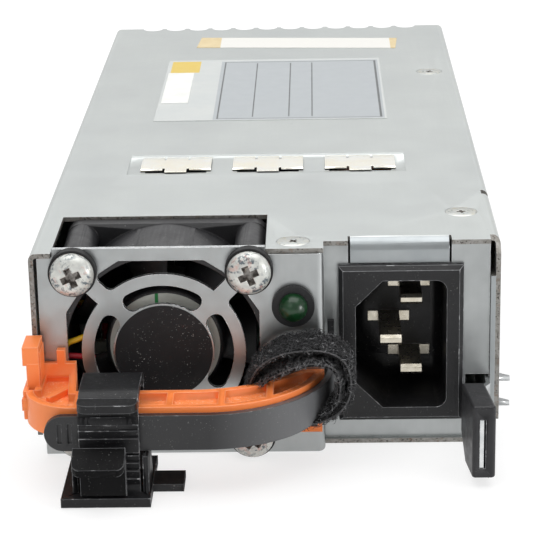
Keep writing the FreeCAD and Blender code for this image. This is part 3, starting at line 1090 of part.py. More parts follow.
def tape_outline(inset):
    """The ring's outline: wider corners on the left than on the right."""
    left, right = f"(tape_left + {inset})", f"(tape_right - {inset})"
    low, high = f"(tape_bottom + {inset})", f"(tape_top - {inset})"
    wide, tight = f"(tape_left_corner - {inset})", f"(tape_right_corner - {inset})"
    return [
        (f"{left} + {wide}", low, wide), (f"{right} - {tight}", low),
        (right, f"{low} + {tight}", tight), (right, f"{high} - {tight}"),
        (f"{right} - {tight}", high, tight), (f"{left} + {wide}", high),
        (left, f"{high} - {wide}", wide), (left, f"{low} + {wide}"),
    ]


def build_tape():
    """The ring of hook-and-loop tape round the handle's tip and the strap."""
    body = start_body()
    pad(body, "XZ", "tape_front", "tape_back - tape_front", [tape_outline("0"), tape_outline("tape_thick")])
    reach = "tape_top - tape_bottom"
    pocket(body, "XY", "tape_bottom", reach, [[
        ("tape_left", "tape_low_front"), ("tape_left", "tape_front"),
        ("tape_left + tape_lean_right", "tape_front"), ("tape_left + tape_lean_left", "tape_low_front"),
    ]])
    pocket(body, "YZ", "tape_left", "tape_right - tape_left", [[
        ("tape_low_front", "tape_bottom"), ("tape_low_front", "tape_bottom + tape_lean_low"),
        ("tape_front", "tape_bottom + tape_lean_high"), ("tape_front", "tape_bottom"),
    ]])
    return node(body, "hook_loop_tape")


# ---- releasable clip ----------------------------------------------------------------------

PLATE_TOP = "(clip_floor + clip_plate_thick)"
BAND_INNER = "(-(arm_front + strap_gap + strap_thick + band_gap))"
BAND_OUTER = f"({BAND_INNER} - band_thick)"
HINGE_Y = "(clip_rear - band_thick / 2)"
HINGE_Z = "(crest_z - clip_hinge_drop)"


def ladder(low, high):
    """Corners of a toothed edge down the band's front, from a high level to a low one."""
    corners = []
    count = max(int((value(high) - value(low)) / value("ladder_step")), 1)
    for step in range(count):
        top = f"{high} - {step} * ladder_step"
        corners.append((f"{BAND_OUTER} - ladder_depth", top))
        corners.append((BAND_OUTER, f"{top} - ladder_step * 0.8"))
    return corners


def build_clip():
    """The clip: plate with fins and rear leg, a band that opens over the handle, a thumb lever."""
    base = start_body()
    plate_right = "clip_plate_left + clip_plate_width"
    pad(base, "XY", "clip_floor", "clip_plate_thick", [rectangle(
        "clip_plate_left", "clip_plate_front", plate_right, "clip_plate_front + clip_plate_length")])
    pad(base, "XY", "clip_floor", "clip_tab_thick", [rectangle(
        f"{plate_right} - 1", "clip_tab_start", f"{plate_right} + clip_tab_reach",
        "clip_tab_start + clip_tab_length")])
    pad(base, "YZ", "band_left", "band_width", [[
        ("clip_rear - band_thick", f"{PLATE_TOP} - weld"), ("clip_rear", f"{PLATE_TOP} - weld"),
        ("clip_rear", HINGE_Z), ("clip_rear - band_thick", HINGE_Z),
    ]])
    pocket(base, "YZ", "band_left - 1", "band_width + 2",
           [("circle", HINGE_Y, HINGE_Z, "band_thick / 2 + hinge_gap")])
    pad(base, "YZ", "band_left", "band_width", [
        [(BAND_INNER, f"{PLATE_TOP} - weld"), (BAND_INNER, "band_split - hinge_gap")]
        + ladder(f"{PLATE_TOP} + 1", "band_split - hinge_gap") + [(BAND_OUTER, f"{PLATE_TOP} - weld")]])
    for left in ("band_left - fin_gap - fin_thick", "band_left + band_width + fin_gap"):
        pad(base, "YZ", left, "fin_thick", [[
            (BAND_OUTER, f"{PLATE_TOP} - weld"), (f"{BAND_OUTER} + fin_length", f"{PLATE_TOP} - weld"),
            (f"{BAND_OUTER} + fin_length", PLATE_TOP + " + 1"),
            (f"{BAND_OUTER} + fin_length - fin_taper", f"{PLATE_TOP} + fin_rise"),
            (BAND_OUTER, f"{PLATE_TOP} + fin_rise"),
        ]])
    node(base, "clip_base")
    build_clip_band()
    build_clip_lever()


def build_clip_band():
    """The arched band with its pull tongue and ratchet steps."""
    band = start_body()
    crest_inner = "(crest_z - band_thick)"
    pad(band, "YZ", "band_left", "band_width", [[
        ("clip_rear", HINGE_Z), ("clip_rear", "crest_z - band_rear_round"),
        ("clip_rear - band_rear_round", "crest_z", "band_rear_round"),
        (f"{BAND_OUTER} + band_front_round", "crest_z"),
        (BAND_OUTER, "crest_z - band_front_round", "band_front_round"),
    ] + ladder("band_split", "(crest_z - band_front_round - hinge_gap)") + [
        (BAND_OUTER, "band_split"), (BAND_INNER, "band_split"), (BAND_INNER, "crest_z - band_front_round"),
        (f"{BAND_OUTER} + band_front_round", crest_inner, "-(band_front_round - band_thick)"),
        ("clip_rear - band_rear_round", crest_inner),
        ("clip_rear - band_thick", "crest_z - band_rear_round", "-(band_rear_round - band_thick)"),
        ("clip_rear - band_thick", HINGE_Z),
    ]])
    pad(band, "YZ", "band_left", "band_width", [("circle", HINGE_Y, HINGE_Z, "band_thick / 2")])
    front, back = f"{BAND_OUTER} - pull_reach", f"{BAND_OUTER} + band_thick / 2"
    right = "band_left + band_width"
    pad(band, "XY", "pull_top - pull_thick", "pull_thick", [[
        ("band_left + pull_corner", front, "pull_corner"), (f"{right} - pull_corner", front),
        (right, f"{front} + pull_corner", "pull_corner"), (right, back), ("band_left", back),
        ("band_left", f"{front} + pull_corner"),
    ]])
    node(band, "clip_band")


def build_clip_lever():
    """The thumb lever that frees the band, rocking on its root at the plate's front edge."""
    lever = start_body()
    root_y = "(clip_plate_front + lever_thick / 2)"
    root_z = f"({PLATE_TOP} + hinge_gap + lever_thick / 2)"
    pad(lever, "YZ", "lever_left", "lever_width", [[
        ("clip_plate_front", root_z), ("clip_plate_front + lever_thick", root_z),
        ("clip_plate_front + lever_thick", "thumb_top - weld"), ("clip_plate_front", "thumb_top - thumb_thick"),
    ]])
    pad(lever, "YZ", "lever_left", "lever_width", [("circle", root_y, root_z, "lever_thick / 2")])
    pad(lever, "YZ", "lever_left - thumb_overhang", "lever_width + thumb_overhang", [[
        ("clip_plate_front + lever_thick", "thumb_top"), ("thumb_front", "thumb_bottom + thumb_thick / 2"),
        ("thumb_front", "thumb_bottom - thumb_thick / 2"), ("clip_plate_front", "thumb_top - thumb_thick - weld"),
        ("clip_plate_front + lever_thick", "thumb_top - thumb_thick"),
    ]])
    dress(lever, "Fillet", "thumb_corner", "z", lambda spot: spot.y < value("clip_plate_front") - 1)
    node(lever, "clip_lever")


# ---- board and what stands on it ----------------------------------------------------------

BOARD_TOP = "(board_z + board_thick)"
BOARD_END = "(case_depth - board_setback)"


def build_board():
    """The main board with its card edge, gold pads, stand-offs and insulating liner."""
    body = start_body()
    edge = "case_depth + edge_reach"
    pad(body, "XY", "board_z", "board_thick", [[
        ("-board_half", "board_start"), ("board_half", "board_start"), ("board_half", BOARD_END),
        ("edge_half", BOARD_END), ("edge_half", f"{edge} - 1"), ("edge_half - 1", edge),
        ("key_slot_x + key_slot_width", edge), ("key_slot_x + key_slot_width", "case_depth + 1"),
        ("key_slot_x", "case_depth + 1"), ("key_slot_x", edge),
        ("-edge_half + 1", edge), ("-edge_half", f"{edge} - 1"), ("-edge_half", BOARD_END),
        ("-board_half", BOARD_END),
    ]])
    node(body, "main_board")
    pads = []
    for level in (BOARD_TOP, "board_z - pad_thick"):
        start = "case_depth + edge_reach - pad_length - 0.8"
        for index in range(7):
            pads.append(box(f"-edge_half + 1.2 + {index} * pad_pitch", start, level,
                            "pad_width", "pad_length", "pad_thick"))
        for index in range(11):
            pads.append(box(f"key_slot_x + key_slot_width + 0.8 + {index} * signal_pitch", start, level,
                            "signal_width", "pad_length", "pad_thick"))
    node(group(pads), "edge_contacts")
    pillars = [rod(x, y, FLOOR_TOP, "standoff_radius", f"board_z - {FLOOR_TOP}")
               for x in ("-standoff_x", "standoff_x") for y in ("standoff_front", "standoff_rear")]
    node(group(pillars), "standoffs")
    liner_half = "(standoff_x - standoff_radius - liner_gap)"
    liner = box(f"-{liner_half}", "standoff_front - standoff_radius", FLOOR_TOP, f"2 * {liner_half}",
                "standoff_rear - standoff_front + 2 * standoff_radius", "liner_thick")
    node(group([liner]), "insulating_liner")


def ring_core(x, y, radius, bore, height, axis):
    """A wound toroid: a ring whose axis runs along the named axis."""
    if axis == "Y":
        outer = rod(x, y, f"{BOARD_TOP} + {radius}", radius, height, "Y")
        hole = rod(x, f"{y} - 1", f"{BOARD_TOP} + {radius}", bore, f"{height} + 2", "Y")
    else:
        outer = rod(x, y, BOARD_TOP, radius, height)
        hole = rod(x, y, f"{BOARD_TOP} - 1", bore, f"{height} + 2")
    return cut(outer, [hole])


def heatsink(x, y, fins, toward):
    """A finned aluminium plate standing on the board, its fins pointing along X."""
    length = f"({fins} * sink_fin_pitch)"
    parts = [box(x, y, BOARD_TOP, "sink_base", length, "sink_height")]
    for index in range(int(value(fins))):
        start = f"{x} + sink_base" if toward > 0 else f"{x} - sink_fin_reach"
        parts.append(box(start, f"{y} + {index} * sink_fin_pitch + sink_fin", BOARD_TOP,
                         "sink_fin_reach", "sink_fin", "sink_height"))
    return fuse(parts)


def build_board_parts():
    """The power parts that stand on the board."""
    bulk = rod("bulk_x", "bulk_y", f"{BOARD_TOP} + bulk_radius", "bulk_radius", "bulk_length", "Y")
    node(group([bulk]), "bulk_capacitor")
    node(ring_core("choke_x", "choke_y", "choke_radius", "choke_bore", "choke_width", "Y"), "pfc_choke")
    core = box("core_x - core_width / 2", "core_y", BOARD_TOP, "core_width", "core_length", "core_height")
    coil_y = "core_y + core_length / 2"
    coil_z = f"{BOARD_TOP} + (core_height - coil_height) / 2"
    window = rod("core_x", coil_y, coil_z, "coil_radius + 0.1", "coil_height")
    leg = rod("core_x", coil_y, coil_z, "leg_radius - 0.1", "coil_height")
    node(fuse([cut(core, [window]), leg]), "transformer_core")
    coil = rod("core_x", coil_y, f"{coil_z} + 0.05", "coil_radius", "coil_height - 0.1")
    hole = rod("core_x", coil_y, f"{coil_z} - 1", "leg_radius", "coil_height + 2")
    node(cut(coil, [hole]), "transformer_coil")
    node(heatsink("primary_sink_x", "primary_sink_y", "sink_fins", 1), "primary_heatsink")
    node(heatsink("secondary_sink_x", "secondary_sink_y", "secondary_sink_fins", 1), "secondary_heatsink")
    node(ring_core("emi_x", "emi_y", "emi_radius", "emi_bore", "emi_height", "Z"), "emi_choke")
    node(group([box("xcap_x", "xcap_y", BOARD_TOP, "xcap_width", "xcap_depth", "xcap_height")]), "x_capacitor")
    cans = [rod(f"outcap_first_x + {index} * outcap_pitch", "outcap_y", BOARD_TOP, "outcap_radius", "outcap_height")
            for index in range(int(value("outcap_count")))]
    node(group(cans), "output_capacitors")
    node(group([box("card_x", "card_y", BOARD_TOP, "card_thick", "card_length", "card_height")]), "control_card")
    node(group([box("socket_x", "socket_y", BOARD_TOP, "socket_width", "socket_depth", "socket_height")]),
         "fan_socket")


def run_of_wire(points, radius):
    """A round wire along straight runs joined by tangent arcs, as large as the runs allow."""
    nodes = [FreeCAD.Vector(*(value(item) for item in point)) for point in points]
    edges = []
    last = nodes[0]
    for before, corner, after in zip(nodes, nodes[1:], nodes[2:]):
        back = (before - corner).normalize()
        ahead = (after - corner).normalize()
        reach = 0.45 * min((before - corner).Length, (after - corner).Length)
        start, end = corner + back * reach, corner + ahead * reach
        half_turn = (math.pi - back.getAngle(ahead)) / 2
        bend = reach / math.tan(half_turn)
        inward = (back + ahead).normalize()
        middle = corner + inward * (bend / math.cos(half_turn) - bend)
        edges += [Part.LineSegment(last, start).toShape(), Part.Arc(start, middle, end).toShape()]
        last = end
    edges.append(Part.LineSegment(last, nodes[-1]).toShape())
    path = Part.Wire(edges)
    section = Part.Wire(Part.Circle(nodes[0], nodes[1] - nodes[0], value(radius)).toShape())
    return path.makePipeShell([section], True, True)


def keep(shape, label):
    """A sub-part whose shape is set directly."""
    item = document.addObject("Part::Feature", "Shaped")
    item.Shape = shape
    return node(item, label)


def build_leads():
    """Three fan leads down to their socket, and the three mains leads behind the inlet."""
    fan_leads = []
    side = "fan_x - fan_size / 2 - lead_slack"
    above = f"{BOARD_TOP} + socket_height"
    for step in (-1, 0, 1):
        shift = f"{step} * lead_pitch"
        across = f"socket_x + socket_width / 2 + {shift}"
        fan_leads.append(run_of_wire([
            ("fan_x - fan_size / 2", "lead_exit_y", f"lead_start_z + {shift}"),
            (side, "lead_exit_y", f"lead_start_z + {shift}"),
            (side, "lead_turn_y", f"lead_turn_z + {shift}"),
            (across, "socket_y + socket_depth / 2", f"{above} + lead_rise"),
            (across, "socket_y + socket_depth / 2", above),
        ], "lead_radius"))
    keep(Part.makeCompound(fan_leads), "fan_leads")
    tabs = "inlet_recess + inlet_body_depth + inlet_tab_length"
    mains = []
    for (x, z, _), step in zip(INLET_BLADES, (1, 0, -1)):
        across = f"inlet_x + {x}"
        landing = f"{across} + 2 * {step} * mains_radius"
        drop = f"mains_landing_y + 2 * {step} * mains_radius"
        mains.append(run_of_wire([
            (across, tabs, f"inlet_z + {z}"),
            (across, f"{drop} - mains_radius", f"inlet_z + {z}"),
            (landing, drop, f"{BOARD_TOP} + mains_bow"),
            (landing, drop, BOARD_TOP),
        ], "mains_radius"))
    keep(Part.makeCompound(mains), "mains_leads")


def build_labels():
    """Thin films on the cover: rating label, serial sticker and a strip of paper tape."""
    rating = box("-label_left", "label_start", "case_height", "label_left + label_right", "label_length", "film")
    node(group([rating]), "rating_label")
    serial = box("serial_left", "serial_start", "case_height + film", "serial_width", "serial_length", "film")
    node(group([serial]), "serial_sticker")
    strip = box("tape_strip_left", "tape_strip_start", "case_height", "tape_strip_width", "tape_strip_length", "film")
    bind(strip, "Placement.Rotation.Angle", "tape_strip_skew")
    node(group([strip]), "tape_strip")


BUILDERS = (
    build_base_tray, build_top_cover, build_cover_screws, build_contact_springs, build_front_panel,
    build_rear_panel, build_fan_frame, build_fan_rotor, build_fan_core, build_fan_fixings,
    build_indicator, build_inlet, build_latch, build_handle, build_strap, build_tape, build_clip,
    build_board, build_board_parts, build_leads, build_labels,
)
for build in BUILDERS:
    build()
document.recompute()

for item in document.Objects:
    if {"Invalid", "Error"} & set(item.State):
        raise RuntimeError(f"{item.Name} ({item.Label}) did not build: {item.State}")
os.makedirs("parts", exist_ok=True)
for item in NODES:
    if item.Shape.isNull() or not item.Shape.isValid():
        raise RuntimeError(f"{item.Label} has no valid shape")
    item.Shape.exportStep(f"parts/{item.Label}.step")
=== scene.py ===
"""Looks of a hot swap server power supply, built around its packed construction model."""

import json
import logging
import math
import random
from dataclasses import dataclass, field
from enum import Enum
from typing import Iterable, Optional, Union

import bmesh
import bpy
from mathutils import Matrix, Vector


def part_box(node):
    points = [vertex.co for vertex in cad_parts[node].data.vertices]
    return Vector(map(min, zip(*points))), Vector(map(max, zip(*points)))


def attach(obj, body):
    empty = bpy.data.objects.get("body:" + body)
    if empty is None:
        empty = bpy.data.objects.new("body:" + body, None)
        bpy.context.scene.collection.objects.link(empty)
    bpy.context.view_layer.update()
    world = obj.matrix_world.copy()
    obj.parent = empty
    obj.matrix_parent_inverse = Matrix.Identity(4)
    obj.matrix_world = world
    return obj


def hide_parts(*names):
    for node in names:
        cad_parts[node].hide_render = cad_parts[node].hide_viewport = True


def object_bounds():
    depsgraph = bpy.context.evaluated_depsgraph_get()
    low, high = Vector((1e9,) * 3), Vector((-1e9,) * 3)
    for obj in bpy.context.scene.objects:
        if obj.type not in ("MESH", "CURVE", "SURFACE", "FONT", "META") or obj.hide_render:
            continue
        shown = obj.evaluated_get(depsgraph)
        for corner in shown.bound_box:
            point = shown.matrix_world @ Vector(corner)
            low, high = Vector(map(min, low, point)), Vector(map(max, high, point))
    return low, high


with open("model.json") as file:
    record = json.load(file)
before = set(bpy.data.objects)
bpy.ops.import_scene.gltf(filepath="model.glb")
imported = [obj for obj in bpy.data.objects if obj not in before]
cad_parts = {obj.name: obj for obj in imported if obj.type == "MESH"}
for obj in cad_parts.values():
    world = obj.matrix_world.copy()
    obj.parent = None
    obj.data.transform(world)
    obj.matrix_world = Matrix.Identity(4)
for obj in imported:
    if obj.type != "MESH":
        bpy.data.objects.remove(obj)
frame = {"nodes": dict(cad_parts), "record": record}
CAD_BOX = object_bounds()
RECORD = frame["record"]
BODY_OF = {node: body for body, nodes in RECORD["behaviour"]["bodies"].items() for node in nodes}
LOG = logging.getLogger("power_supply")
MM = 0.001
# Sockets of a Mix node that carry colours: first, second and result.
COLOUR_A, COLOUR_B, COLOUR_OUT = 6, 7, 2
# Span of values that most of a noise lies in, narrow for crisp clouds and wide for soft ones.
CRISP, SOFT = (0.35, 0.65), (0.3, 0.7)
DUST = "#A3A29F"
# Size of a dust speck, and of the zones in which specks gather.
SPECK_MM, ZONE_MM = 0.3, 6.0
# Edges sharper than this many degrees stay sharp: on most pieces, on tubes, and on fibres, which have none.
SHARP, TUBE, FIBRE = 30.0, 60.0, 180.0
# Points nearer than this are one: in a mesh from the CAD, and along the seam of a turned solid.
JOIN_MM, SEAM_MM = 0.002, 0.001
# Part along Y of the normal of a face that looks forward, and of one that looks squarely forward.
FORWARD, SQUARE_ON = -0.3, -0.9
# Part along Z of the normal of a level face.
LEVEL = 0.99
# What is left of a screw's cross at its bottom, along its arms, across them and in depth.
CROSS_TAPER = (0.45, 0.7, 1.0)
# How far an edge hairline, partly scuffed and partly painted highlight, stands out of the edge that it lies on.
PROUD_MM = 0.03
# A face whose normal has less than this along an axis doesn't face that way.
STEEP = 0.5
# What a socket is fed with: another socket, a hex colour or a number.
Value = Union[bpy.types.NodeSocket, str, float]


class Axis(Enum):
    """The axis that a round piece turns about."""

    Y = (0.0, 1.0, 0.0)
    Z = (0.0, 0.0, 1.0)


def linear(code: str) -> tuple[float, float, float, float]:
    """Turn an sRGB hex code into linear colour.

    Args:
        code: Six hex digits after a hash.

    Returns:
        Linear red, green, blue and an alpha of one.
    """
    steps = [int(code[start:start + 2], 16) / 255 for start in (1, 3, 5)]
    toned = [step / 12.92 if step <= 0.04045 else ((step + 0.055) / 1.055) ** 2.4 for step in steps]
    return (*toned, 1.0)


def add(tree: bpy.types.NodeTree, kind: str, settings: Optional[dict] = None,
        links: Optional[dict] = None) -> bpy.types.Node:
    """Add a node, set its options and inputs, and link its inputs.

    Args:
        tree: The tree that gets the node.
        kind: The node's type name.
        settings: Options by attribute name, and input values by input name or number.
        links: Output sockets by the name or number of the input they feed.

    Returns:
        The new node.
    """
    made = tree.nodes.new(kind)
    for key, value in (settings or {}).items():
        if isinstance(key, int) or key in made.inputs:
            made.inputs[key].default_value = value
        else:
            setattr(made, key, value)
    for key, source in (links or {}).items():
        tree.links.new(source, made.inputs[key])
    return made


def per_metre(size_mm: float) -> float:
    """Scale of a texture whose features are this many millimetres across."""
    return 1.0 / (size_mm * MM)


def blend_colours(tree: bpy.types.NodeTree, share: bpy.types.NodeSocket, low: Value,
                  high: Value) -> bpy.types.NodeSocket:
    """Mix two colours, each a socket or a hex code.

    Args:
        tree: The tree that gets the node.
        share: Share of the second colour.
        low: The first colour.
        high: The second colour.

    Returns:
        The mixed colour.
    """
    mix = add(tree, "ShaderNodeMix", {"data_type": "RGBA"}, {"Factor": share})
    for number, value in ((COLOUR_A, low), (COLOUR_B, high)):
        if isinstance(value, str):
            mix.inputs[number].default_value = linear(value)
        else:
            tree.links.new(value, mix.inputs[number])
    return mix.outputs[COLOUR_OUT]


def spread(tree: bpy.types.NodeTree, value: bpy.types.NodeSocket, low: float, high: float,
           start: float = 0.0, end: float = 1.0) -> bpy.types.NodeSocket:
    """Map a value from one range to another, held inside it.

    Args:
        tree: The tree that gets the node.
        value: The value to map.
        low: Start of its own range.
        high: End of its own range.
        start: What the low end becomes.
        end: What the high end becomes.

    Returns:
        The mapped value.
    """
    return add(tree, "ShaderNodeMapRange", {1: low, 2: high, 3: start, 4: end}, {0: value}).outputs[0]


def noise(tree: bpy.types.NodeTree, place: bpy.types.NodeSocket, size_mm: float,
          detail: float = 3.0, stretch: tuple[float, float, float] = (1.0, 1.0, 1.0),
          shift: float = 0.0) -> bpy.types.NodeSocket:
    """Cloudy variation of a real size.

    Args:
        tree: The tree that gets the nodes.
        place: Object coordinates.
        size_mm: Size of the largest clouds.
        detail: Octaves of finer cloud.
        stretch: How much longer the clouds are along each axis.
        shift: Moves the pattern, so that two layers differ.

    Returns:
        The value, about one half on average.
    """
    moved = {"Location": (shift, shift, shift), "Scale": [1.0 / part for part in stretch]}
    placed = add(tree, "ShaderNodeMapping", moved, {"Vector": place})
    settings = {"Scale": per_metre(size_mm), "Detail": detail, "Roughness": 0.6}
    return add(tree, "ShaderNodeTexNoise", settings, {"Vector": placed.outputs[0]}).outputs[0]


def arithmetic(tree: bpy.types.NodeTree, operation: str, first: Value,
               second: Value = 0.0) -> bpy.types.NodeSocket:
    """One step of arithmetic on sockets or plain numbers.

    Args:
        tree: The tree that gets the node.
        operation: The operation's name.
        first: First number or socket.
        second: Second number or socket.

    Returns:
        The result.
    """
    node = add(tree, "ShaderNodeMath", {"operation": operation})
    for number, value in enumerate((first, second)):
        if isinstance(value, (int, float)):
            node.inputs[number].default_value = value
        else:
            tree.links.new(value, node.inputs[number])
    return node.outputs[0]


@dataclass(frozen=True)
class Finish:
    """One real material.

    Attributes:
        name: What the material is.
        colour: Its main colour.
        shade: The colour it drifts to.
        roughness: How rough it is on average.
        patch_mm: Size of its slow change of colour.
        rough_change: How much its roughness drifts either way.
        grain_mm: Size of its surface grain.
        grain_depth_mm: How deep the grain is.
        metallic: One for bare metal.
        ior: Refraction of a material that isn't metal.
        coat: Weight of a clear coat.
        dust: Share of pale dust specks.
        edge_mm: Rounding of its sharp edges, as light shows it.
    """

    name: str
    colour: str
    shade: str
    roughness: float = 0.5
    patch_mm: float = 8.0
    rough_change: float = 0.08
    grain_mm: float = 0.5
    grain_depth_mm: float = 0.02
    metallic: float = 0.0
    ior: float = 1.5
    coat: float = 0.0
    dust: float = 0.0
    edge_mm: float = 0.15

    def material(self) -> bpy.types.Material:
        """The material, made once and then found again.

        Returns:
            The material.
        """
        found = bpy.data.materials.get(self.name)
        if found is not None:
            return found
        made = bpy.data.materials.new(self.name)
        made.use_nodes = True
        tree = made.node_tree
        tree.nodes.clear()
        place = add(tree, "ShaderNodeTexCoord").outputs["Object"]
        uniform = {"Metallic": self.metallic, "Coat Weight": self.coat}
        if not self.metallic:
            uniform["IOR"] = self.ior
        uniform.update(self.extras())
        shader = add(tree, "ShaderNodeBsdfPrincipled", uniform, {
            "Base Color": self.tint(tree, place), "Roughness": self.gloss(tree, place),
        })
        links = {"Height": self.relief(tree, place)}
        if self.edge_mm:
            rounded = {"samples": 8, "Radius": self.edge_mm * MM}
            links["Normal"] = add(tree, "ShaderNodeBevel", rounded).outputs[0]
        depth = {"Strength": 1.0, "Distance": self.grain_depth_mm * MM}
        bump = add(tree, "ShaderNodeBump", depth, links)
        tree.links.new(bump.outputs[0], shader.inputs["Normal"])
        add(tree, "ShaderNodeOutputMaterial", links={"Surface": shader.outputs[0]})
        return made

    def extras(self) -> dict:
        """Further uniform values of the shader."""
        return {}

    def tint(self, tree: bpy.types.NodeTree, place: bpy.types.NodeSocket) -> bpy.types.NodeSocket:
        """Colour that drifts between the two tones, with specks of dust.

        Args:
            tree: The material's tree.
            place: Object coordinates.

        Returns:
            The colour.
        """
        base = self.drift(tree, place)
        if not self.dust:
            return base
        speck = spread(tree, noise(tree, place, SPECK_MM, 1.0, shift=3.0), 0.69, 0.74, 0.0, self.dust)
        zone = spread(tree, noise(tree, place, ZONE_MM, 2.0, shift=17.0), 0.4, 0.65)
        return blend_colours(tree, arithmetic(tree, "MULTIPLY", speck, zone), base, DUST)

    def drift(self, tree: bpy.types.NodeTree, place: bpy.types.NodeSocket) -> bpy.types.NodeSocket:
        """Slow clouds of the second tone over the first.

        Args:
            tree: The material's tree.
            place: Object coordinates.

        Returns:
            The colour.
        """
        cloud = spread(tree, noise(tree, place, self.patch_mm), *CRISP)
        return blend_colours(tree, cloud, self.colour, self.shade)

    def gloss(self, tree: bpy.types.NodeTree, place: bpy.types.NodeSocket) -> bpy.types.NodeSocket:
        """Roughness that drifts about its average.

        Args:
            tree: The material's tree.
            place: Object coordinates.

        Returns:
            The roughness.
        """
        cloud = noise(tree, place, self.patch_mm / 3, 4.0, shift=1.0)
        least, most = self.roughness - self.rough_change, self.roughness + self.rough_change
        return spread(tree, cloud, *SOFT, least, most)

    def relief(self, tree: bpy.types.NodeTree, place: bpy.types.NodeSocket) -> bpy.types.NodeSocket:
        """Height of the surface grain.

        Args:
            tree: The material's tree.
            place: Object coordinates.

        Returns:
            The height.
        """
        return noise(tree, place, self.grain_mm, 2.0)


@dataclass(frozen=True)
class RolledSteel(Finish):
    """Zinc-coated steel sheet: a satin grey with faint rolling lines, cloudy zinc and a few smudges.

    Attributes:
        smudge: Colour of handling marks.
        smudge_mm: Size of a mark.
        line_mm: Spacing of the rolling lines.
        wave_mm: Size of the sheet's waviness.
        wave_height: How much higher that is than the grain.
    """

    smudge: str = "#A5A7A5"
    smudge_mm: float = 2.2
    line_mm: float = 0.7
    wave_mm: float = 14.0
    wave_height: float = 4.0

    def tint(self, tree: bpy.types.NodeTree, place: bpy.types.NodeSocket) -> bpy.types.NodeSocket:
        """Slow clouds, fine rolling lines along the casing, and sparse smudges.

        Args:
            tree: The material's tree.
            place: Object coordinates.

        Returns:
            The colour.
        """
        streaks = noise(tree, place, self.line_mm, 2.0, (1.0, 30.0, 30.0), 2.0)
        lines = spread(tree, streaks, *SOFT, 0.0, 0.35)
        lined = blend_colours(tree, lines, self.drift(tree, place), self.shade)
        marks = spread(tree, noise(tree, place, self.smudge_mm, 6.0, shift=7.0), 0.7, 0.78, 0.0, 0.6)
        return blend_colours(tree, marks, lined, self.smudge)

    def relief(self, tree: bpy.types.NodeTree, place: bpy.types.NodeSocket) -> bpy.types.NodeSocket:
        """Sheet waviness with a fine satin grain.

        Args:
            tree: The material's tree.
            place: Object coordinates.

        Returns:
            The height.
        """
        wave = noise(tree, place, self.wave_mm, 1.0)
        grain = noise(tree, place, self.grain_mm, 2.0, (1.0, 8.0, 8.0))
        return arithmetic(tree, "ADD", arithmetic(tree, "MULTIPLY", wave, self.wave_height), grain)


@dataclass(frozen=True)
class Mottled(Finish):
    """A surface with blotches of a second and a third colour, such as worn plating or a sheared edge.

    Attributes:
        blotch: Colour of the blotches.
        tinge: Colour of a rarer tinge.
        blotch_mm: Size of the blotches.
        cover: Share of the surface that they take, from 0 to 1.
    """

    blotch: str = "#4A5260"
    tinge: str = "#B98574"
    blotch_mm: float = 0.9
    cover: float = 0.35

    def tint(self, tree: bpy.types.NodeTree, place: bpy.types.NodeSocket) -> bpy.types.NodeSocket:
        """The base tone under crisp blotches and a soft tinge.

        Args:
            tree: The material's tree.
            place: Object coordinates.

        Returns:
            The colour.
        """
        edge = 0.68 - 0.3 * self.cover
        blots = noise(tree, place, self.blotch_mm, 5.0, shift=4.0)
        spots = spread(tree, blots, edge, edge + 0.06, 0.0, 0.9)
        zone = spread(tree, noise(tree, place, self.blotch_mm * 4, 1.0, shift=5.0), 0.4, 0.55)
        share = arithmetic(tree, "MULTIPLY", spots, zone)
        spotted = blend_colours(tree, share, self.drift(tree, place), self.blotch)
        haze = noise(tree, place, self.blotch_mm * 2.5, 3.0, shift=9.0)
        return blend_colours(tree, spread(tree, haze, 0.58, 0.7, 0.0, 0.55), spotted, self.tinge)


@dataclass(frozen=True)
class Moulded(Finish):
    """Moulded plastic: a fine spark-eroded grain and a few hairline scratches.

    Attributes:
        scratch_and_painted_light: Colour of the scratches, and of the painted light on a finish painted paler
            towards one end.
        scratches: Share of scratch lines that show.
        scratch_mm: Width of a scratch, drawn coarse enough to show.
    """

    scratch_and_painted_light: str = "#6E6F70"
    scratches: float = 0.0
    scratch_mm: float = 0.35

    def tint(self, tree: bpy.types.NodeTree, place: bpy.types.NodeSocket) -> bpy.types.NodeSocket:
        """Base colour with dust and scratches.

        Args:
            tree: The material's tree.
            place: Object coordinates.

        Returns:
            The colour.
        """
        tinted = Finish.tint(self, tree, place)
        if not self.scratches:
            return tinted
        return blend_colours(tree, self.lines(tree, place), tinted, self.scratch_and_painted_light)

    def lines(self, tree: bpy.types.NodeTree, place: bpy.types.NodeSocket) -> bpy.types.NodeSocket:
        """Hairline scratches in two directions, in broken patches.

        Args:
            tree: The material's tree.
            place: Object coordinates.

        Returns:
            The share of the surface that they cover.
        """
        found = []
        for turn, shift in ((0.6, 11.0), (-0.9, 13.0)):
            turned = add(tree, "ShaderNodeMapping", {"Rotation": (turn, turn, turn)}, {"Vector": place})
            streak = noise(tree, turned.outputs[0], self.scratch_mm, 1.0, (1.0, 30.0, 30.0), shift)
            found.append(spread(tree, streak, 0.70, 0.74))
        both = arithmetic(tree, "MAXIMUM", *found)
        patch = spread(tree, noise(tree, place, 5.0, 2.0, shift=15.0), 0.5, 0.6, 0.0, self.scratches)
        return arithmetic(tree, "MULTIPLY", both, patch)


@dataclass(frozen=True)
class PaintedLitEnd(Moulded):
    """Moulded plastic painted paler towards one end along X, as painted light where the piece turns towards the
    lamps.

    Attributes:
        unlit_mm: Where along X the painted light starts.
        lit_mm: Where along X it is full.
        lit_share: Share of the painted light there.
    """

    unlit_mm: float = 0.0
    lit_mm: float = 1.0
    lit_share: float = 0.5

    def tint(self, tree: bpy.types.NodeTree, place: bpy.types.NodeSocket) -> bpy.types.NodeSocket:
        """Base colour with the painted light laid over it.

        Args:
            tree: The material's tree.
            place: Object coordinates.

        Returns:
            The colour.
        """
        tinted = Moulded.tint(self, tree, place)
        along = add(tree, "ShaderNodeSeparateXYZ", links={"Vector": place}).outputs["X"]
        share = spread(tree, along, self.unlit_mm * MM, self.lit_mm * MM, 0.0, self.lit_share)
        return blend_colours(tree, share, tinted, self.scratch_and_painted_light)


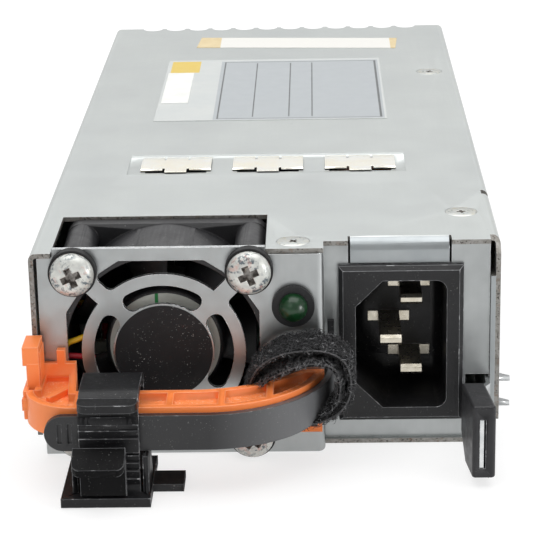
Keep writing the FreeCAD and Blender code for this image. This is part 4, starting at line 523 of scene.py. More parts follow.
@dataclass(frozen=True)
class Cloth(Finish):
    """Woven or napped textile: threads over a slow drift, with a sheen of fibre ends.

    Attributes:
        sheen: Weight of the sheen.
        thread_mm: Pitch of its threads.
    """

    sheen: float = 0.4
    thread_mm: float = 0.7

    def extras(self) -> dict:
        """Sheen of fibre ends."""
        return {"Sheen Weight": self.sheen, "Sheen Roughness": 0.6}

    def relief(self, tree: bpy.types.NodeTree, place: bpy.types.NodeSocket) -> bpy.types.NodeSocket:
        """Threads with fuzz between them.

        Args:
            tree: The material's tree.
            place: Object coordinates.

        Returns:
            The height.
        """
        fuzz = noise(tree, place, self.thread_mm, 4.0)
        return arithmetic(tree, "ADD", fuzz, noise(tree, place, self.thread_mm / 2, 2.0, shift=2.0))


@dataclass(frozen=True)
class Patch:
    """A rectangle printed on a flat face, in metres along two axes.

    Attributes:
        colour: Its colour.
        low: Lowest corner.
        high: Highest corner.
        soft: Width of its soft edge.
    """

    colour: str
    low: tuple[float, float]
    high: tuple[float, float]
    soft: float = 0.05 * MM


@dataclass(frozen=True)
class Printed(Finish):
    """A film or paper with plain printed rectangles and rules on it.

    Attributes:
        marks: The printed rectangles, lowest first.
        across: Which coordinate runs across, 0 for X.
        along: Which coordinate runs along, 1 for Y or 2 for Z.
    """

    marks: tuple[Patch, ...] = ()
    across: int = 0
    along: int = 1

    def tint(self, tree: bpy.types.NodeTree, place: bpy.types.NodeSocket) -> bpy.types.NodeSocket:
        """The sheet's own tone with each printed rectangle over it.

        Args:
            tree: The material's tree.
            place: Object coordinates.

        Returns:
            The colour.
        """
        colour = Finish.tint(self, tree, place)
        parts = add(tree, "ShaderNodeSeparateXYZ", links={0: place}).outputs
        for mark in self.marks:
            inside = []
            for axis, low, high in zip((self.across, self.along), mark.low, mark.high):
                offset = arithmetic(tree, "SUBTRACT", parts[axis], (low + high) / 2)
                away, half = arithmetic(tree, "ABSOLUTE", offset), (high - low) / 2
                inside.append(spread(tree, away, half + mark.soft, half - mark.soft))
            colour = blend_colours(tree, arithmetic(tree, "MULTIPLY", *inside), colour, mark.colour)
        return colour


# After its two colours a finish gives its roughness, the size of its clouds, how much its roughness drifts,
# and the size and depth of its grain, all sizes in millimetres.

# Zinc-coated sheet: pale satin grey that leans blue, with soft clouds.
STEEL = RolledSteel("zinc_coated_steel", "#D0D4D2", "#CACECD", 0.42, 26.0, 0.05, 0.5, 0.004, metallic=1.0)
# The same sheet where it faces forward, painted darker as painted shade, with handling smudges on it.
SHADED_FRONT_STEEL = RolledSteel("zinc_steel_painted_shade", "#A9ADAE", "#A1A6A8", 0.42, 9.0, 0.07, 0.5, 0.005, metallic=1.0,
                          smudge="#85857F")
# The same sheet on the small bent parts, painted a little darker as painted shade, with handling smudges on it.
PANEL_STEEL = RolledSteel("panel_zinc_steel_painted_shade", "#B1B4B4", "#A7AAAA", 0.38, 9.0, 0.07, 0.5, 0.005, metallic=1.0,
                          smudge="#878784")
# Sheared edge without zinc: darker, with brown specks of first rust.
CUT_EDGE = Mottled("sheared_steel_edge", "#9E9C98", "#84817C", 0.5, 1.2, 0.1, 0.3, 0.02, metallic=0.8,
                   blotch="#35302B", tinge="#856B5B", blotch_mm=0.4, cover=0.45, edge_mm=0.1)
# Laser-cut edge of the guard: clean cut steel, painted brighter than the sheet as a painted highlight along the
# edges.
BRIGHT_EDGE = Finish("laser_cut_edge_highlight", "#DADCDC", "#C4C7C8", 0.3, 2.0, 0.06, 0.3, 0.004, metallic=1.0)
# Chipped white zinc flake on a screw head: pale with a fine blue-black network and reddish blotches.
WORN_HEAD = Mottled("worn_zinc_flake", "#DCDDD7", "#C4C6C2", 0.4, 1.6, 0.1, 0.5, 0.05, metallic=0.4,
                    blotch="#56626A", tinge="#D2A296", blotch_mm=0.7, cover=0.6, edge_mm=0.2)
# Bare recess of a screw, greased and dark.
RECESS = Mottled("worn_recess_steel", "#A5A19C", "#726D69", 0.42, 0.6, 0.1, 0.3, 0.03, metallic=0.6,
                 blotch="#35302C", tinge="#B5A48F", blotch_mm=0.35, cover=0.35, edge_mm=0.0)
# Passivated zinc on a flush screw: pale with a yellow-blue tint.
PASSIVATED = Mottled("passivated_zinc", "#D3D2C9", "#C8CCCB", 0.35, 1.5, 0.06, 0.3, 0.006, metallic=1.0,
                     blotch="#7C8B8E", tinge="#CFC49A", blotch_mm=0.6, cover=0.35)
# Nickel-plated spring strip: warm white and smooth.
NICKEL_STRIP = Finish("nickel_plated_strip", "#FFFFFA", "#FFFAEA", 0.22, 6.0, 0.04, 0.8, 0.001, metallic=1.0,
                      edge_mm=0.1)
# Nickel-plated brass blade: bright, lightly drawn.
NICKEL = Finish("nickel_plate", "#DAD4C6", "#C2BBAA", 0.3, 3.0, 0.06, 0.4, 0.004, metallic=1.0)
# Stainless spring leaf: cold and brushed.
SPRING = RolledSteel("stainless_spring", "#C6C8C9", "#B4B7B8", 0.3, 4.0, 0.05, 0.4, 0.004, metallic=1.0)
# Glass-filled black housing plastic: charcoal, spark-eroded grain; its grey edges are hairlines of their own,
# partly scuffed and partly painted highlight.
HOUSING = Moulded("black_housing_plastic", "#1C1C1E", "#161618", 0.42, 6.0, 0.06, 0.4, 0.05, ior=1.42,
                  dust=0.45, scratch_and_painted_light="#6A6B6D", edge_mm=0.0)
# Smoother black fan plastic: near-black with dust on it.
FAN_PLASTIC = Moulded("black_fan_plastic", "#2A2A2C", "#1E1E20", 0.42, 7.0, 0.07, 0.5, 0.012, dust=0.7,
                      scratch_and_painted_light="#6E6E70", edge_mm=0.3)
# Black nylon: satin and near-black, with dust on it.
NYLON = Moulded("satin_black_nylon", "#161618", "#1D1D1F", 0.42, 5.0, 0.07, 0.5, 0.012, dust=0.5, ior=1.36,
                scratch_and_painted_light="#8A8B8D", edge_mm=0.0)
# The lever's nylon: a darker copy with a weaker reflection, painted shade on the thumb face that looks up into
# the light.
LEVER_NYLON = Moulded("lever_nylon_painted_shade", "#070708", "#0D0D0E", 0.45, 5.0, 0.07, 0.5, 0.012, ior=1.2,
                      dust=0.6, scratch_and_painted_light="#8A8B8D", edge_mm=0.0)
# The same nylon on the thumb cap, greyer from handling, with hairline scratches.
CAP_NYLON = Moulded("thumb_cap_nylon", "#262628", "#2D2D2F", 0.42, 5.0, 0.08, 0.4, 0.02, dust=0.5, ior=1.4,
                    scratch_and_painted_light="#7A7B7D", scratches=0.3, edge_mm=0.0)
# Edges of the nylon parts, pale in places: partly scuffed, partly painted highlight.
NYLON_EDGE_SCUFF_AND_HIGHLIGHT = Mottled("nylon_edge_scuff_and_highlight", "#5C5D5F", "#454648", 0.42, 2.0, 0.1, 0.4, 0.01, blotch="#C9CACC",
                       tinge="#8A8B8D", blotch_mm=1.2, cover=0.45, edge_mm=0.0)
# Edges of the housing plastic, grey: partly scuffed, partly painted highlight.
HOUSING_EDGE_SCUFF_AND_HIGHLIGHT = Mottled("housing_edge_scuff_and_highlight", "#77787A", "#5A5B5D", 0.42, 2.0, 0.1, 0.4, 0.01, edge_mm=0.0,
                         blotch="#C0C1C3", tinge="#8C8D8F", blotch_mm=1.6, cover=0.45)
# Edges of the strap, paler along their length: partly scuffed, partly painted highlight.
STRAP_EDGE_SCUFF_AND_HIGHLIGHT = Mottled("strap_edge_scuff_and_highlight", "#454547", "#545557", 0.5, 2.0, 0.1, 0.4, 0.01, blotch="#8A8B8D",
                       tinge="#6C6D6F", blotch_mm=1.2, cover=0.45, edge_mm=0.0)
# Flexible strap nylon: dull dark grey, painted paler towards its right end as painted light on the strap's
# bend.
STRAP_NYLON = PaintedLitEnd("strap_nylon_painted_lit_end", "#1F1F21", "#1B1B1D", 0.36, 7.0, 0.05, 0.4, 0.012, dust=0.3, ior=1.5,
                   scratch_and_painted_light="#8C8D8F", edge_mm=0.2, unlit_mm=-10.0, lit_mm=9.0, lit_share=0.5)
# Orange polypropylene: warm and slightly waxy; its paler thin edges are hairlines of their own, painted
# highlight.
ORANGE = Moulded("orange_polypropylene", "#FF8945", "#FC8C49", 0.42, 10.0, 0.05, 0.4, 0.015, dust=0.0,
                 scratch_and_painted_light="#FAA878", edge_mm=0.3)
# The same plastic on the pocket floors, frosted by the mould's eroded surface.
FROSTED_ORANGE = Mottled("frosted_orange_polypropylene", "#FF9552", "#F88F4C", 0.7, 1.2, 0.08, 0.3, 0.06,
                         blotch="#FFC4A0", tinge="#FFA070", blotch_mm=0.35, cover=0.45, edge_mm=0.0)
# Painted highlight on the thin edges of the orange plastic: paler hairlines where light catches them and comes
# through.
PALE_ORANGE = Finish("orange_edge_highlight", "#FFB286", "#FFA06C", 0.45, 4.0, 0.06, 0.4, 0.01, edge_mm=0.0)
# Soft black rubber washer.
RUBBER = Finish("grommet_rubber", "#151516", "#1C1C1D", 0.6, 2.0, 0.08, 0.4, 0.03, ior=1.45, dust=0.2,
                edge_mm=0.3)
# Matt black vinyl film over the guard's hub.
VINYL = Finish("matt_black_vinyl", "#161517", "#1B1A1C", 0.6, 5.0, 0.06, 0.25, 0.03, dust=0.9, ior=1.4)
# Hook-and-loop tape: the woven back, a dull black.
FUZZ = Cloth("black_woven_tape", "#080809", "#0E0E0F", 0.9, 1.5, 0.08, 0.6, 0.3, sheen=0.05, ior=1.3)
# The tape's loop pile: fine nylon fibres, black with greyer ones among them.
PILE = Cloth("black_nylon_pile", "#060607", "#4E4E50", 0.55, 0.4, 0.1, 0.3, 0.02, ior=1.3, sheen=0.05,
             edge_mm=0.0)
# Longer loops between the turns, greyer against the dark.
LOOP_YARN = Cloth("grey_loop_fibres", "#0E0E0F", "#8E8E90", 0.4, 0.45, 0.1, 0.3, 0.02, sheen=0.05, edge_mm=0.0)
# Woven selvedge of the tape, worn paler.
EDGE_YARN = Cloth("worn_selvedge_yarn", "#5A5A5C", "#2A2A2C", 0.6, 0.7, 0.1, 0.3, 0.1, sheen=0.1, thread_mm=0.4,
                  edge_mm=0.0)
# Polycarbonate lamp lens, dark green and clear with a coat.
LENS = Finish("green_lamp_lens", "#0D3B1A", "#092C14", 0.32, 2.5, 0.04, 0.6, 0.004, ior=1.45, coat=0.25)
# Satin paper of the serial sticker, left blank.
FOIL = Finish("satin_foil_paper", "#F0F1EE", "#E6E7E3", 0.5, 4.0, 0.06, 0.3, 0.004)
# Milky polyester sheet under the board.
LINER = Finish("white_liner_film", "#D8D8D2", "#CFCFC8", 0.45, 9.0, 0.05, 0.4, 0.006)
# Glass-fibre board under green solder mask, with its gloss.
LAMINATE = Finish("green_solder_mask", "#1F5A36", "#1A4D2E", 0.38, 6.0, 0.06, 0.5, 0.02, coat=0.3)
# Hard gold on the card edge: bright and even.
GOLD = Finish("hard_gold_plate", "#E2BE62", "#D6AE50", 0.25, 2.0, 0.05, 0.3, 0.003, metallic=1.0)
# Bare extruded aluminium of the heatsinks: pale, with fine drawing lines.
ALUMINIUM = RolledSteel("black_free_aluminium", "#C3C6C8", "#B8BBBD", 0.38, 6.0, 0.06, 0.4, 0.006, metallic=1.0)
# Drawn aluminium can of a capacitor: smooth and pale.
CAN = Finish("capacitor_aluminium", "#C9CBCC", "#BFC1C2", 0.3, 3.0, 0.05, 0.3, 0.003, metallic=1.0)
# Shrunk sleeve of the large capacitor: dark blue-grey and glossy.
SLEEVE = Finish("black_pvc_sleeve", "#222733", "#1C202B", 0.35, 5.0, 0.05, 0.5, 0.006, coat=0.2)
# Sintered ferrite: dull charcoal, like fine stone.
FERRITE = Finish("sintered_ferrite", "#3A3A3C", "#313133", 0.65, 2.0, 0.08, 0.4, 0.03)
# Yellow polyester tape round the transformer's coil: smooth, with a soft gloss.
WRAP = Finish("yellow_polyester_tape", "#D9B84A", "#CFAC3E", 0.32, 4.0, 0.05, 0.5, 0.008)
# Enamelled winding wire: red-brown copper under clear lacquer.
COPPER = Finish("enamelled_copper", "#B5672E", "#9C5424", 0.28, 1.2, 0.05, 0.5, 0.02, metallic=0.8)
# Moulded box of the film capacitor: dull yellow.
BOX_CAP = Moulded("grey_box_plastic", "#C9A93C", "#C2A234", 0.4, 4.0, 0.05, 0.4, 0.01, scratch_and_painted_light="#DCC57A")
# Undyed nylon of the fan's socket: ivory and satin.
WHITE_NYLON = Moulded("white_nylon", "#DEDCD2", "#D4D2C8", 0.42, 3.0, 0.05, 0.4, 0.01, scratch_and_painted_light="#EFEFEA")
# Oil-filled sintered bronze of the bearings: dull gold, faintly porous.
BRASS = Finish("sintered_bronze", "#B08A4C", "#9E7A3E", 0.45, 1.5, 0.06, 0.3, 0.01, metallic=1.0)
# Extruded PVC of the leads: smooth, with a soft gloss, in each lead's colour.
YELLOW_LEAD = Finish("yellow_pvc_lead", "#F6C828", "#EDBC20", 0.35, 3.0, 0.05, 0.4, 0.004)
RED_LEAD = Finish("red_pvc_lead", "#C42836", "#B4222F", 0.35, 3.0, 0.05, 0.4, 0.004)
BLACK_LEAD = Finish("black_pvc_lead", "#1D1D1F", "#262628", 0.4, 3.0, 0.05, 0.4, 0.004)
BLUE_LEAD = Finish("blue_pvc_lead", "#2C5FA8", "#27559A", 0.35, 3.0, 0.05, 0.4, 0.004)
BROWN_LEAD = Finish("brown_pvc_lead", "#6B4328", "#5F3A22", 0.35, 3.0, 0.05, 0.4, 0.004)
GREEN_LEAD = Finish("green_pvc_lead", "#2F7D3A", "#286E32", 0.35, 3.0, 0.05, 0.4, 0.004)

RULE = "#5D6061"
# Millimetres from the rating label's left, near, right and far edges to its ruled frame.
FRAME_INSET = (13.9, 1.2, 1.0, 2.6)
# How far the grey panel reaches past the frame on each of those sides.
PANEL_REACH = (0.8, 0.8, 0.5, 0.8)
# Thickness of the frame's rule on each side.
RULE_WIDTH = (0.35, 0.3, 0.5, 0.3)
# Places of the dividers from the frame's left, their half width, and how far they stop short.
DIVIDERS, DIVIDER_HALF, DIVIDER_INSET = (8.0, 16.1, 21.3), 0.14, 1.5
# The yellow tag: its left and right edges from the label's left, its near and far ones from the far edge.
TAG = (1.0, 8.0, 13.0, 1.5)


def rating_marks(low: Vector, high: Vector) -> tuple[Patch, ...]:
    """Plain rules of the rating label: a frame and three dividers, with no words.

    Args:
        low: The film's lowest corner.
        high: The film's highest corner.

    Returns:
        The printed rectangles.
    """
    left, near = low.x + FRAME_INSET[0] * MM, low.y + FRAME_INSET[1] * MM
    right, far = high.x - FRAME_INSET[2] * MM, high.y - FRAME_INSET[3] * MM
    reach, width = ([part * MM for part in sizes] for sizes in (PANEL_REACH, RULE_WIDTH))
    marks = [Patch("#ACB1B4", (left - reach[0], near - reach[1]), (right + reach[2], far + reach[3]))]
    corners = (((left, near), (left + width[0], far)), ((right - width[2], near), (right, far)),
               ((left, near), (right, near + width[1])), ((left, far - width[3]), (right, far)))
    marks += [Patch(RULE, *pair) for pair in corners]
    for offset in DIVIDERS:
        x, half, inset = left + offset * MM, DIVIDER_HALF * MM, DIVIDER_INSET * MM
        marks.append(Patch(RULE, (x - half, near + inset), (x + half, far - inset)))
    start, end, near_edge, far_edge = (part * MM for part in TAG)
    marks.append(Patch("#D9BC55", (low.x + start, high.y - near_edge), (low.x + end, high.y - far_edge)))
    return tuple(marks)


def merged(node: str) -> bmesh.types.BMesh:
    """A working copy of a construction node's mesh with its loose triangles joined.

    Args:
        node: The node's name.

    Returns:
        The joined mesh.
    """
    shape = bmesh.new()
    shape.from_mesh(frame["nodes"][node].data)
    bmesh.ops.remove_doubles(shape, verts=shape.verts, dist=JOIN_MM * MM)
    return shape


def islands(shape: bmesh.types.BMesh) -> list[list[bmesh.types.BMFace]]:
    """The faces of each separate solid in a mesh.

    Args:
        shape: The mesh.

    Returns:
        One list of faces for each solid.
    """
    left = set(shape.faces)
    found = []
    while left:
        group, queue = [], [left.pop()]
        while queue:
            face = queue.pop()
            group.append(face)
            near = {other for edge in face.edges for other in edge.link_faces} & left
            left -= near
            queue.extend(near)
        found.append(group)
    return found


def narrow(shape: bmesh.types.BMesh, width_mm: float) -> list[bmesh.types.BMFace]:
    """Faces of flat or gently curved strips no wider than a sheet is thick.

    Args:
        shape: The mesh.
        width_mm: The widest strip that counts.

    Returns:
        The faces of those strips.
    """
    left = set(shape.faces)
    found = []
    while left:
        strip, queue = [], [left.pop()]
        while queue:
            face = queue.pop()
            strip.append(face)
            near = {other for edge in face.edges
                    if edge.is_manifold and edge.calc_face_angle() < math.radians(SHARP)
                    for other in edge.link_faces} & left
            left -= near
            queue.extend(near)
        area = sum(face.calc_area() for face in strip)
        inside = set(strip)
        rim = sum(edge.calc_length() for face in strip for edge in face.edges
                  if any(other not in inside for other in edge.link_faces))
        if 2 * area < width_mm * MM * rim:
            found.extend(strip)
    return found


def middle(faces: Iterable[bmesh.types.BMFace]) -> Vector:
    """Middle of the box round some faces.

    Args:
        faces: The faces.

    Returns:
        The middle.
    """
    points = [vert.co for face in faces for vert in face.verts]
    low = Vector([min(point[axis] for point in points) for axis in range(3)])
    high = Vector([max(point[axis] for point in points) for axis in range(3)])
    return (low + high) / 2


def assign(target: bpy.types.Object, finishes: Iterable[Finish]) -> None:
    """Give an object these finishes, with its faces' material numbers as they are.

    Args:
        target: The object.
        finishes: Its finishes by material number.
    """
    numbers = [face.material_index for face in target.data.polygons]
    target.data.materials.clear()
    for finish in finishes:
        target.data.materials.append(finish.material())
    last = len(target.data.materials) - 1
    target.data.polygons.foreach_set("material_index", [min(number, last) for number in numbers])


def linked(name: str, data: bpy.types.ID) -> bpy.types.Object:
    """Put a new object in the scene.

    Args:
        name: Its name.
        data: Its mesh, curve, lamp or camera.

    Returns:
        The object.
    """
    made = bpy.data.objects.new(name, data)
    bpy.context.scene.collection.objects.link(made)
    return made


def plain(name: str, shape: bmesh.types.BMesh) -> bpy.types.Mesh:
    """Turn a working mesh into a plain one and free it.

    Args:
        name: Name of the plain mesh.
        shape: The working mesh.

    Returns:
        The plain mesh.
    """
    data = bpy.data.meshes.new(name)
    shape.to_mesh(data)
    shape.free()
    return data


def pour(whole: bmesh.types.BMesh, data: bpy.types.Mesh) -> bmesh.types.BMesh:
    """Add a plain mesh to a working one and drop the plain one.

    Args:
        whole: The working mesh.
        data: The plain mesh.

    Returns:
        The working mesh.
    """
    whole.from_mesh(data)
    bpy.data.meshes.remove(data)
    return whole


def evaluated(made: bpy.types.Object) -> bpy.types.Mesh:
    """The mesh that an object shows, with its modifiers or its curve's thickness applied.

    Args:
        made: The object.

    Returns:
        The mesh.
    """
    bpy.context.view_layer.update()
    graph = bpy.context.evaluated_depsgraph_get()
    return bpy.data.meshes.new_from_object(made.evaluated_get(graph))


def new_curve(name: str, half_mm: float) -> bpy.types.Curve:
    """An empty round curve of this half thickness.

    Args:
        name: Its name.
        half_mm: Its half thickness.

    Returns:
        The curve.
    """
    data = bpy.data.curves.new(name, "CURVE")
    data.dimensions = "3D"
    data.bevel_depth = half_mm * MM
    return data


def smooth_path(data: bpy.types.Curve, points: Iterable[Vector], closed: bool = False) -> bpy.types.Spline:
    """Add a smooth path to a curve.

    Args:
        data: The curve.
        points: The points that pull it along.
        closed: Whether it closes.

    Returns:
        The path.
    """
    spots = list(points)
    spline = data.splines.new("NURBS")
    spline.points.add(len(spots) - 1)
    for point, spot in zip(spline.points, spots):
        point.co = (*spot, 1.0)
    spline.order_u = 3
    spline.use_cyclic_u = closed
    spline.use_endpoint_u = not closed
    return spline


def curve_mesh(data: bpy.types.Curve) -> bpy.types.Mesh:
    """The mesh of a curve, without leaving an object in the scene.

    Args:
        data: The curve.

    Returns:
        The mesh.
    """
    holder = linked(data.name, data)
    mesh = evaluated(holder)
    bpy.data.objects.remove(holder)
    return mesh


def box(shape: bmesh.types.BMesh, size: Vector, centre: Vector, turn: float = 0.0) -> list[bmesh.types.BMVert]:
    """Add a box to a mesh.

    Args:
        shape: The mesh.
        size: The box's length along each axis, before it is turned.
        centre: Its middle.
        turn: How far it is turned about Z, in radians.

    Returns:
        Its corners.
    """
    made = bmesh.ops.create_cube(shape, size=1.0)["verts"]
    bmesh.ops.scale(shape, vec=size, verts=made)
    bmesh.ops.rotate(shape, cent=(0.0, 0.0, 0.0), matrix=Matrix.Rotation(turn, 3, "Z"), verts=made)
    bmesh.ops.translate(shape, vec=centre, verts=made)
    return made


def roll(shape: bmesh.types.BMesh, edges: list[bmesh.types.BMEdge], radius_mm: float, segments: int,
         clamp: bool = False) -> None:
    """Round some edges of a mesh.

    Args:
        shape: The mesh.
        edges: The edges.
        radius_mm: How far the rounding reaches from each edge.
        segments: Faces across it.
        clamp: Whether it stops short where it would cross another.
    """
    bmesh.ops.bevel(shape, geom=edges, offset=radius_mm * MM, offset_type="OFFSET", segments=segments,
                    profile=0.5, affect="EDGES", material=-1, clamp_overlap=clamp)


def new_edges(verts: Iterable[bmesh.types.BMVert]) -> list[bmesh.types.BMEdge]:
    """The edges that meet at these points."""
    return list({edge for vert in verts for edge in vert.link_edges})


@dataclass
class Assembly:
    """A group of pieces that are built and dressed together.

    Attributes:
        made: Names of the pieces that this group has added.
    """

    made: list[str] = field(default_factory=list)

    def build(self) -> None:
        """Make and dress every piece of the group."""
        raise NotImplementedError

    def dress(self, node: str, *finishes: Finish) -> None:
        """Give a construction node its finish and leave its shape alone."""
        assign(frame["nodes"][node], finishes)

    def piece(self, name: str, shape: bmesh.types.BMesh, finishes: Iterable[Finish], node: str,
              smooth: float = SHARP, hide: bool = True) -> bpy.types.Object:
        """Turn a mesh into a finished piece that rides and is named with its construction node.

        Args:
            name: The piece's name.
            shape: Its mesh, freed here.
            finishes: Finishes by material number.
            node: The construction node it belongs with.
            smooth: Edges sharper than this many degrees stay sharp.
            hide: Whether the piece stands for the node.

        Returns:
            The new object.
        """
        made = linked(name, plain(name, shape))
        assign(made, finishes)
        made.data.shade_smooth()
        made.data.set_sharp_from_angle(angle=math.radians(smooth))
        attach(made, BODY_OF[node])
        if hide:
            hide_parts(node)
        self.made.append(name)
        return made

    def refine(self, node: str, finishes: Iterable[Finish], sheet_mm: float = 0.0,
               angle: float = SHARP, front: bool = False) -> bpy.types.Object:
        """Stand a joined copy of a node in for it, with true shading and its cut edges told apart.

        Args:
            node: The node's name.
            finishes: Its finish, then that of its cut edges, then that of its forward faces.
            sheet_mm: Strips narrower than this are cut edges.
            angle: Edges sharper than this many degrees stay sharp.
            front: Whether faces that look forward have a finish of their own, a darker copy that paints shade
                on them.

        Returns:
            The new object.
        """
        shape = merged(node)
        if front:
            # Faces that look forward take the third finish, painted shade.
            for face in shape.faces:
                face.material_index = 2 if face.normal.y < FORWARD else 0
        if sheet_mm:
            for face in narrow(shape, sheet_mm):
                face.material_index = 1
        return self.weighted(self.piece(node + "_finished", shape, finishes, node, angle))

    def rub_and_highlight(self, node: str, made: bpy.types.Object, finish: Finish, thick_mm: float = 0.14,
            angle: float = 35.0) -> None:
        """Add pale hairlines along a piece's edges: partly the marks that handling or cutting leaves, partly a
        painted highlight where light catches the edge.

        Args:
            node: The construction node it belongs with.
            made: The piece.
            finish: Finish of the lines.
            thick_mm: Thickness of a line.
            angle: Edges sharper than this many degrees get one.
        """
        self.piece(node + "_edges", edge_lines(made, thick_mm, angle), (finish,), node, TUBE)

    def leads(self, node: str, finishes: tuple[Finish, ...], order: Vector) -> None:
        """Colour each lead of a node on its own.

        Args:
            node: The node with the leads.
            finishes: One finish for each lead.
            order: The direction in which the finishes follow each other.
        """
        shape = merged(node)
        groups = sorted(islands(shape), key=lambda group: middle(group).dot(order))
        for number, group in enumerate(groups):
            for face in group:
                face.material_index = number % len(finishes)
        self.piece(node + "_finished", shape, finishes, node, TUBE)

    def weighted(self, made: bpy.types.Object) -> bpy.types.Object:
        """Let each flat face keep its own light where it runs into a curve.

        Args:
            made: The piece.

        Returns:
            The piece.
        """
        weigh = made.modifiers.new("flat_faces", "WEIGHTED_NORMAL")
        weigh.mode = "FACE_AREA_WITH_ANGLE"
        weigh.keep_sharp = True
        return made


def edge_lines(made: bpy.types.Object, thick_mm: float, angle: float) -> bmesh.types.BMesh:
    """Hairlines along the sharp outer edges of a piece, sunk so that they only just stand proud.

    They end at the construction model's box, so that the finished one is no larger.

    Args:
        made: The piece.
        thick_mm: Thickness of a line.
        angle: Edges sharper than this many degrees get one.

    Returns:
        The lines.
    """
    shape = bmesh.new()
    shape.from_mesh(made.data)
    data = new_curve("edges", thick_mm / 2)
    data.bevel_resolution = 0
    data.use_fill_caps = True
    sink = thick_mm * MM / 2 - PROUD_MM * MM
    for edge in shape.edges:
        if edge.is_manifold and edge.is_convex and edge.calc_face_angle() > math.radians(angle):
            outward = sum((face.normal for face in edge.link_faces), Vector()) / 2
            spline = data.splines.new("POLY")
            spline.points.add(1)
            for point, vert in zip(spline.points, edge.verts):
                point.co = (*(vert.co - outward * sink / outward.length_squared), 1.0)
    shape.free()
    lines = pour(bmesh.new(), curve_mesh(data))
    for vert in lines.verts:
        vert.co = Vector(min(max(value, low), high) for value, low, high in zip(vert.co, *CAD_BOX))
    return lines


def carve(base: bpy.types.Object, tool: bpy.types.Object) -> None:
    """Cut one mesh out of another and drop the cutter.

    Args:
        base: The object that is cut.
        tool: The cutter, whose material the cut keeps.
    """
    cut = base.modifiers.new("cut", "BOOLEAN")
    cut.operation = "DIFFERENCE"
    cut.solver = "EXACT"
    cut.material_mode = "TRANSFER"
    cut.use_self = True
    cut.object = tool
    result = evaluated(base)
    base.modifiers.remove(cut)
    base.data = result
    bpy.data.objects.remove(tool)


def turned(profile: Iterable[tuple[float, float]], steps: int = 48) -> bmesh.types.BMesh:
    """Spin a half outline about Z.

    Args:
        profile: Radius and height of each point in millimetres, from the axis at the top to the axis below.
        steps: Steps round the full turn.

    Returns:
        The closed solid.
    """
    shape = bmesh.new()
    points = [shape.verts.new((radius * MM, 0.0, height * MM)) for radius, height in profile]
    edges = [shape.edges.new(pair) for pair in zip(points, points[1:])]
    bmesh.ops.spin(shape, geom=[*points, *edges], axis=Axis.Z.value, cent=(0.0, 0.0, 0.0),
                   angle=math.tau, steps=steps, use_merge=True)
    bmesh.ops.remove_doubles(shape, verts=shape.verts, dist=SEAM_MM * MM)
    bmesh.ops.recalc_face_normals(shape, faces=shape.faces)
    return shape


def cross_cutter(reach_mm: float, width_mm: float, depth_mm: float) -> bmesh.types.BMesh:
    """A tapering cross for a driver recess, its middle at height zero.

    Args:
        reach_mm: Length of each pair of arms.
        width_mm: Width of an arm.
        depth_mm: How deep it goes.

    Returns:
        The cutter.
    """
    shape = bmesh.new()
    for turn in (0.0, math.pi / 2):
        arm = bmesh.ops.create_cube(shape, size=1.0)["verts"]
        bmesh.ops.scale(shape, vec=(reach_mm * MM, width_mm * MM, 2 * depth_mm * MM), verts=arm)
        low = [vert for vert in arm if vert.co.z < 0]
        bmesh.ops.scale(shape, vec=CROSS_TAPER, verts=low)
        bmesh.ops.rotate(shape, cent=(0.0, 0.0, 0.0), matrix=Matrix.Rotation(turn, 3, "Z"), verts=arm)
    return shape


@dataclass
class Screws(Assembly):
    """A set of alike screws with cross recesses, where a construction node has them.

    Attributes:
        node: The node with the screws.
        outline: Radius and height of the head's half outline, its underside at zero.
        recess: Reach, width and depth of the cross.
        turns: Degrees each cross is turned, from the left.
        outward: Direction that the heads face.
        finish: Finish of the heads.
    """

    node: str = "fan_screws"
    outline: tuple[tuple[float, float], ...] = ()
    recess: tuple[float, float, float] = (5.2, 1.5, 1.5)
    turns: tuple[float, ...] = (0.0,)
    outward: Vector = field(default_factory=lambda: Vector((0.0, -1.0, 0.0)))
    finish: Finish = WORN_HEAD

    def build(self) -> None:
        """Turn, cut and place one screw at each screw of the node."""
        shape = merged(self.node)
        places = sorted((self.place(group) for group in islands(shape)), key=tuple)
        shape.free()
        joined = bmesh.new()
        for number, spot in enumerate(places):
            head = self.head(math.radians(self.turns[number % len(self.turns)]))
            head.transform(Matrix.Translation(spot) @ self.facing())
            joined.from_mesh(head)
        self.piece(self.node + "_finished", joined, (self.finish, RECESS), self.node, smooth=35.0)

    def place(self, group: list[bmesh.types.BMFace]) -> Vector:
        """The point under the middle of a screw's head.

        Args:
            group: The screw's faces.

        Returns:
            The point.
        """
        top = max(vert.co.dot(self.outward) for face in group for vert in face.verts)
        centre = middle(group)
        height = max(point[1] for point in self.outline) * MM
        return centre + self.outward * (top - height - centre.dot(self.outward))

    def facing(self) -> Matrix:
        """Turns a head that faces up to face outward."""
        return Vector((0.0, 0.0, 1.0)).rotation_difference(self.outward).to_matrix().to_4x4()

    def head(self, turn: float) -> bpy.types.Mesh:
        """One screw with its recess cut, facing up.

        Args:
            turn: How far the cross is turned, in radians.

        Returns:
            The mesh.
        """
        top = max(height for _, height in self.outline)
        cutter = cross_cutter(*self.recess)
        bmesh.ops.rotate(cutter, cent=(0.0, 0.0, 0.0), matrix=Matrix.Rotation(turn, 3, "Z"), verts=cutter.verts)
        bmesh.ops.translate(cutter, vec=(0.0, 0.0, top * MM), verts=cutter.verts)
        for face in cutter.faces:
            face.material_index = 1
        base = linked("head", plain("head", turned(self.outline)))
        tool = linked("cutter", plain("cutter", cutter))
        for made in (base, tool):
            assign(made, (self.finish, RECESS))
        carve(base, tool)
        result = base.data
        bpy.data.objects.remove(base)
        return result


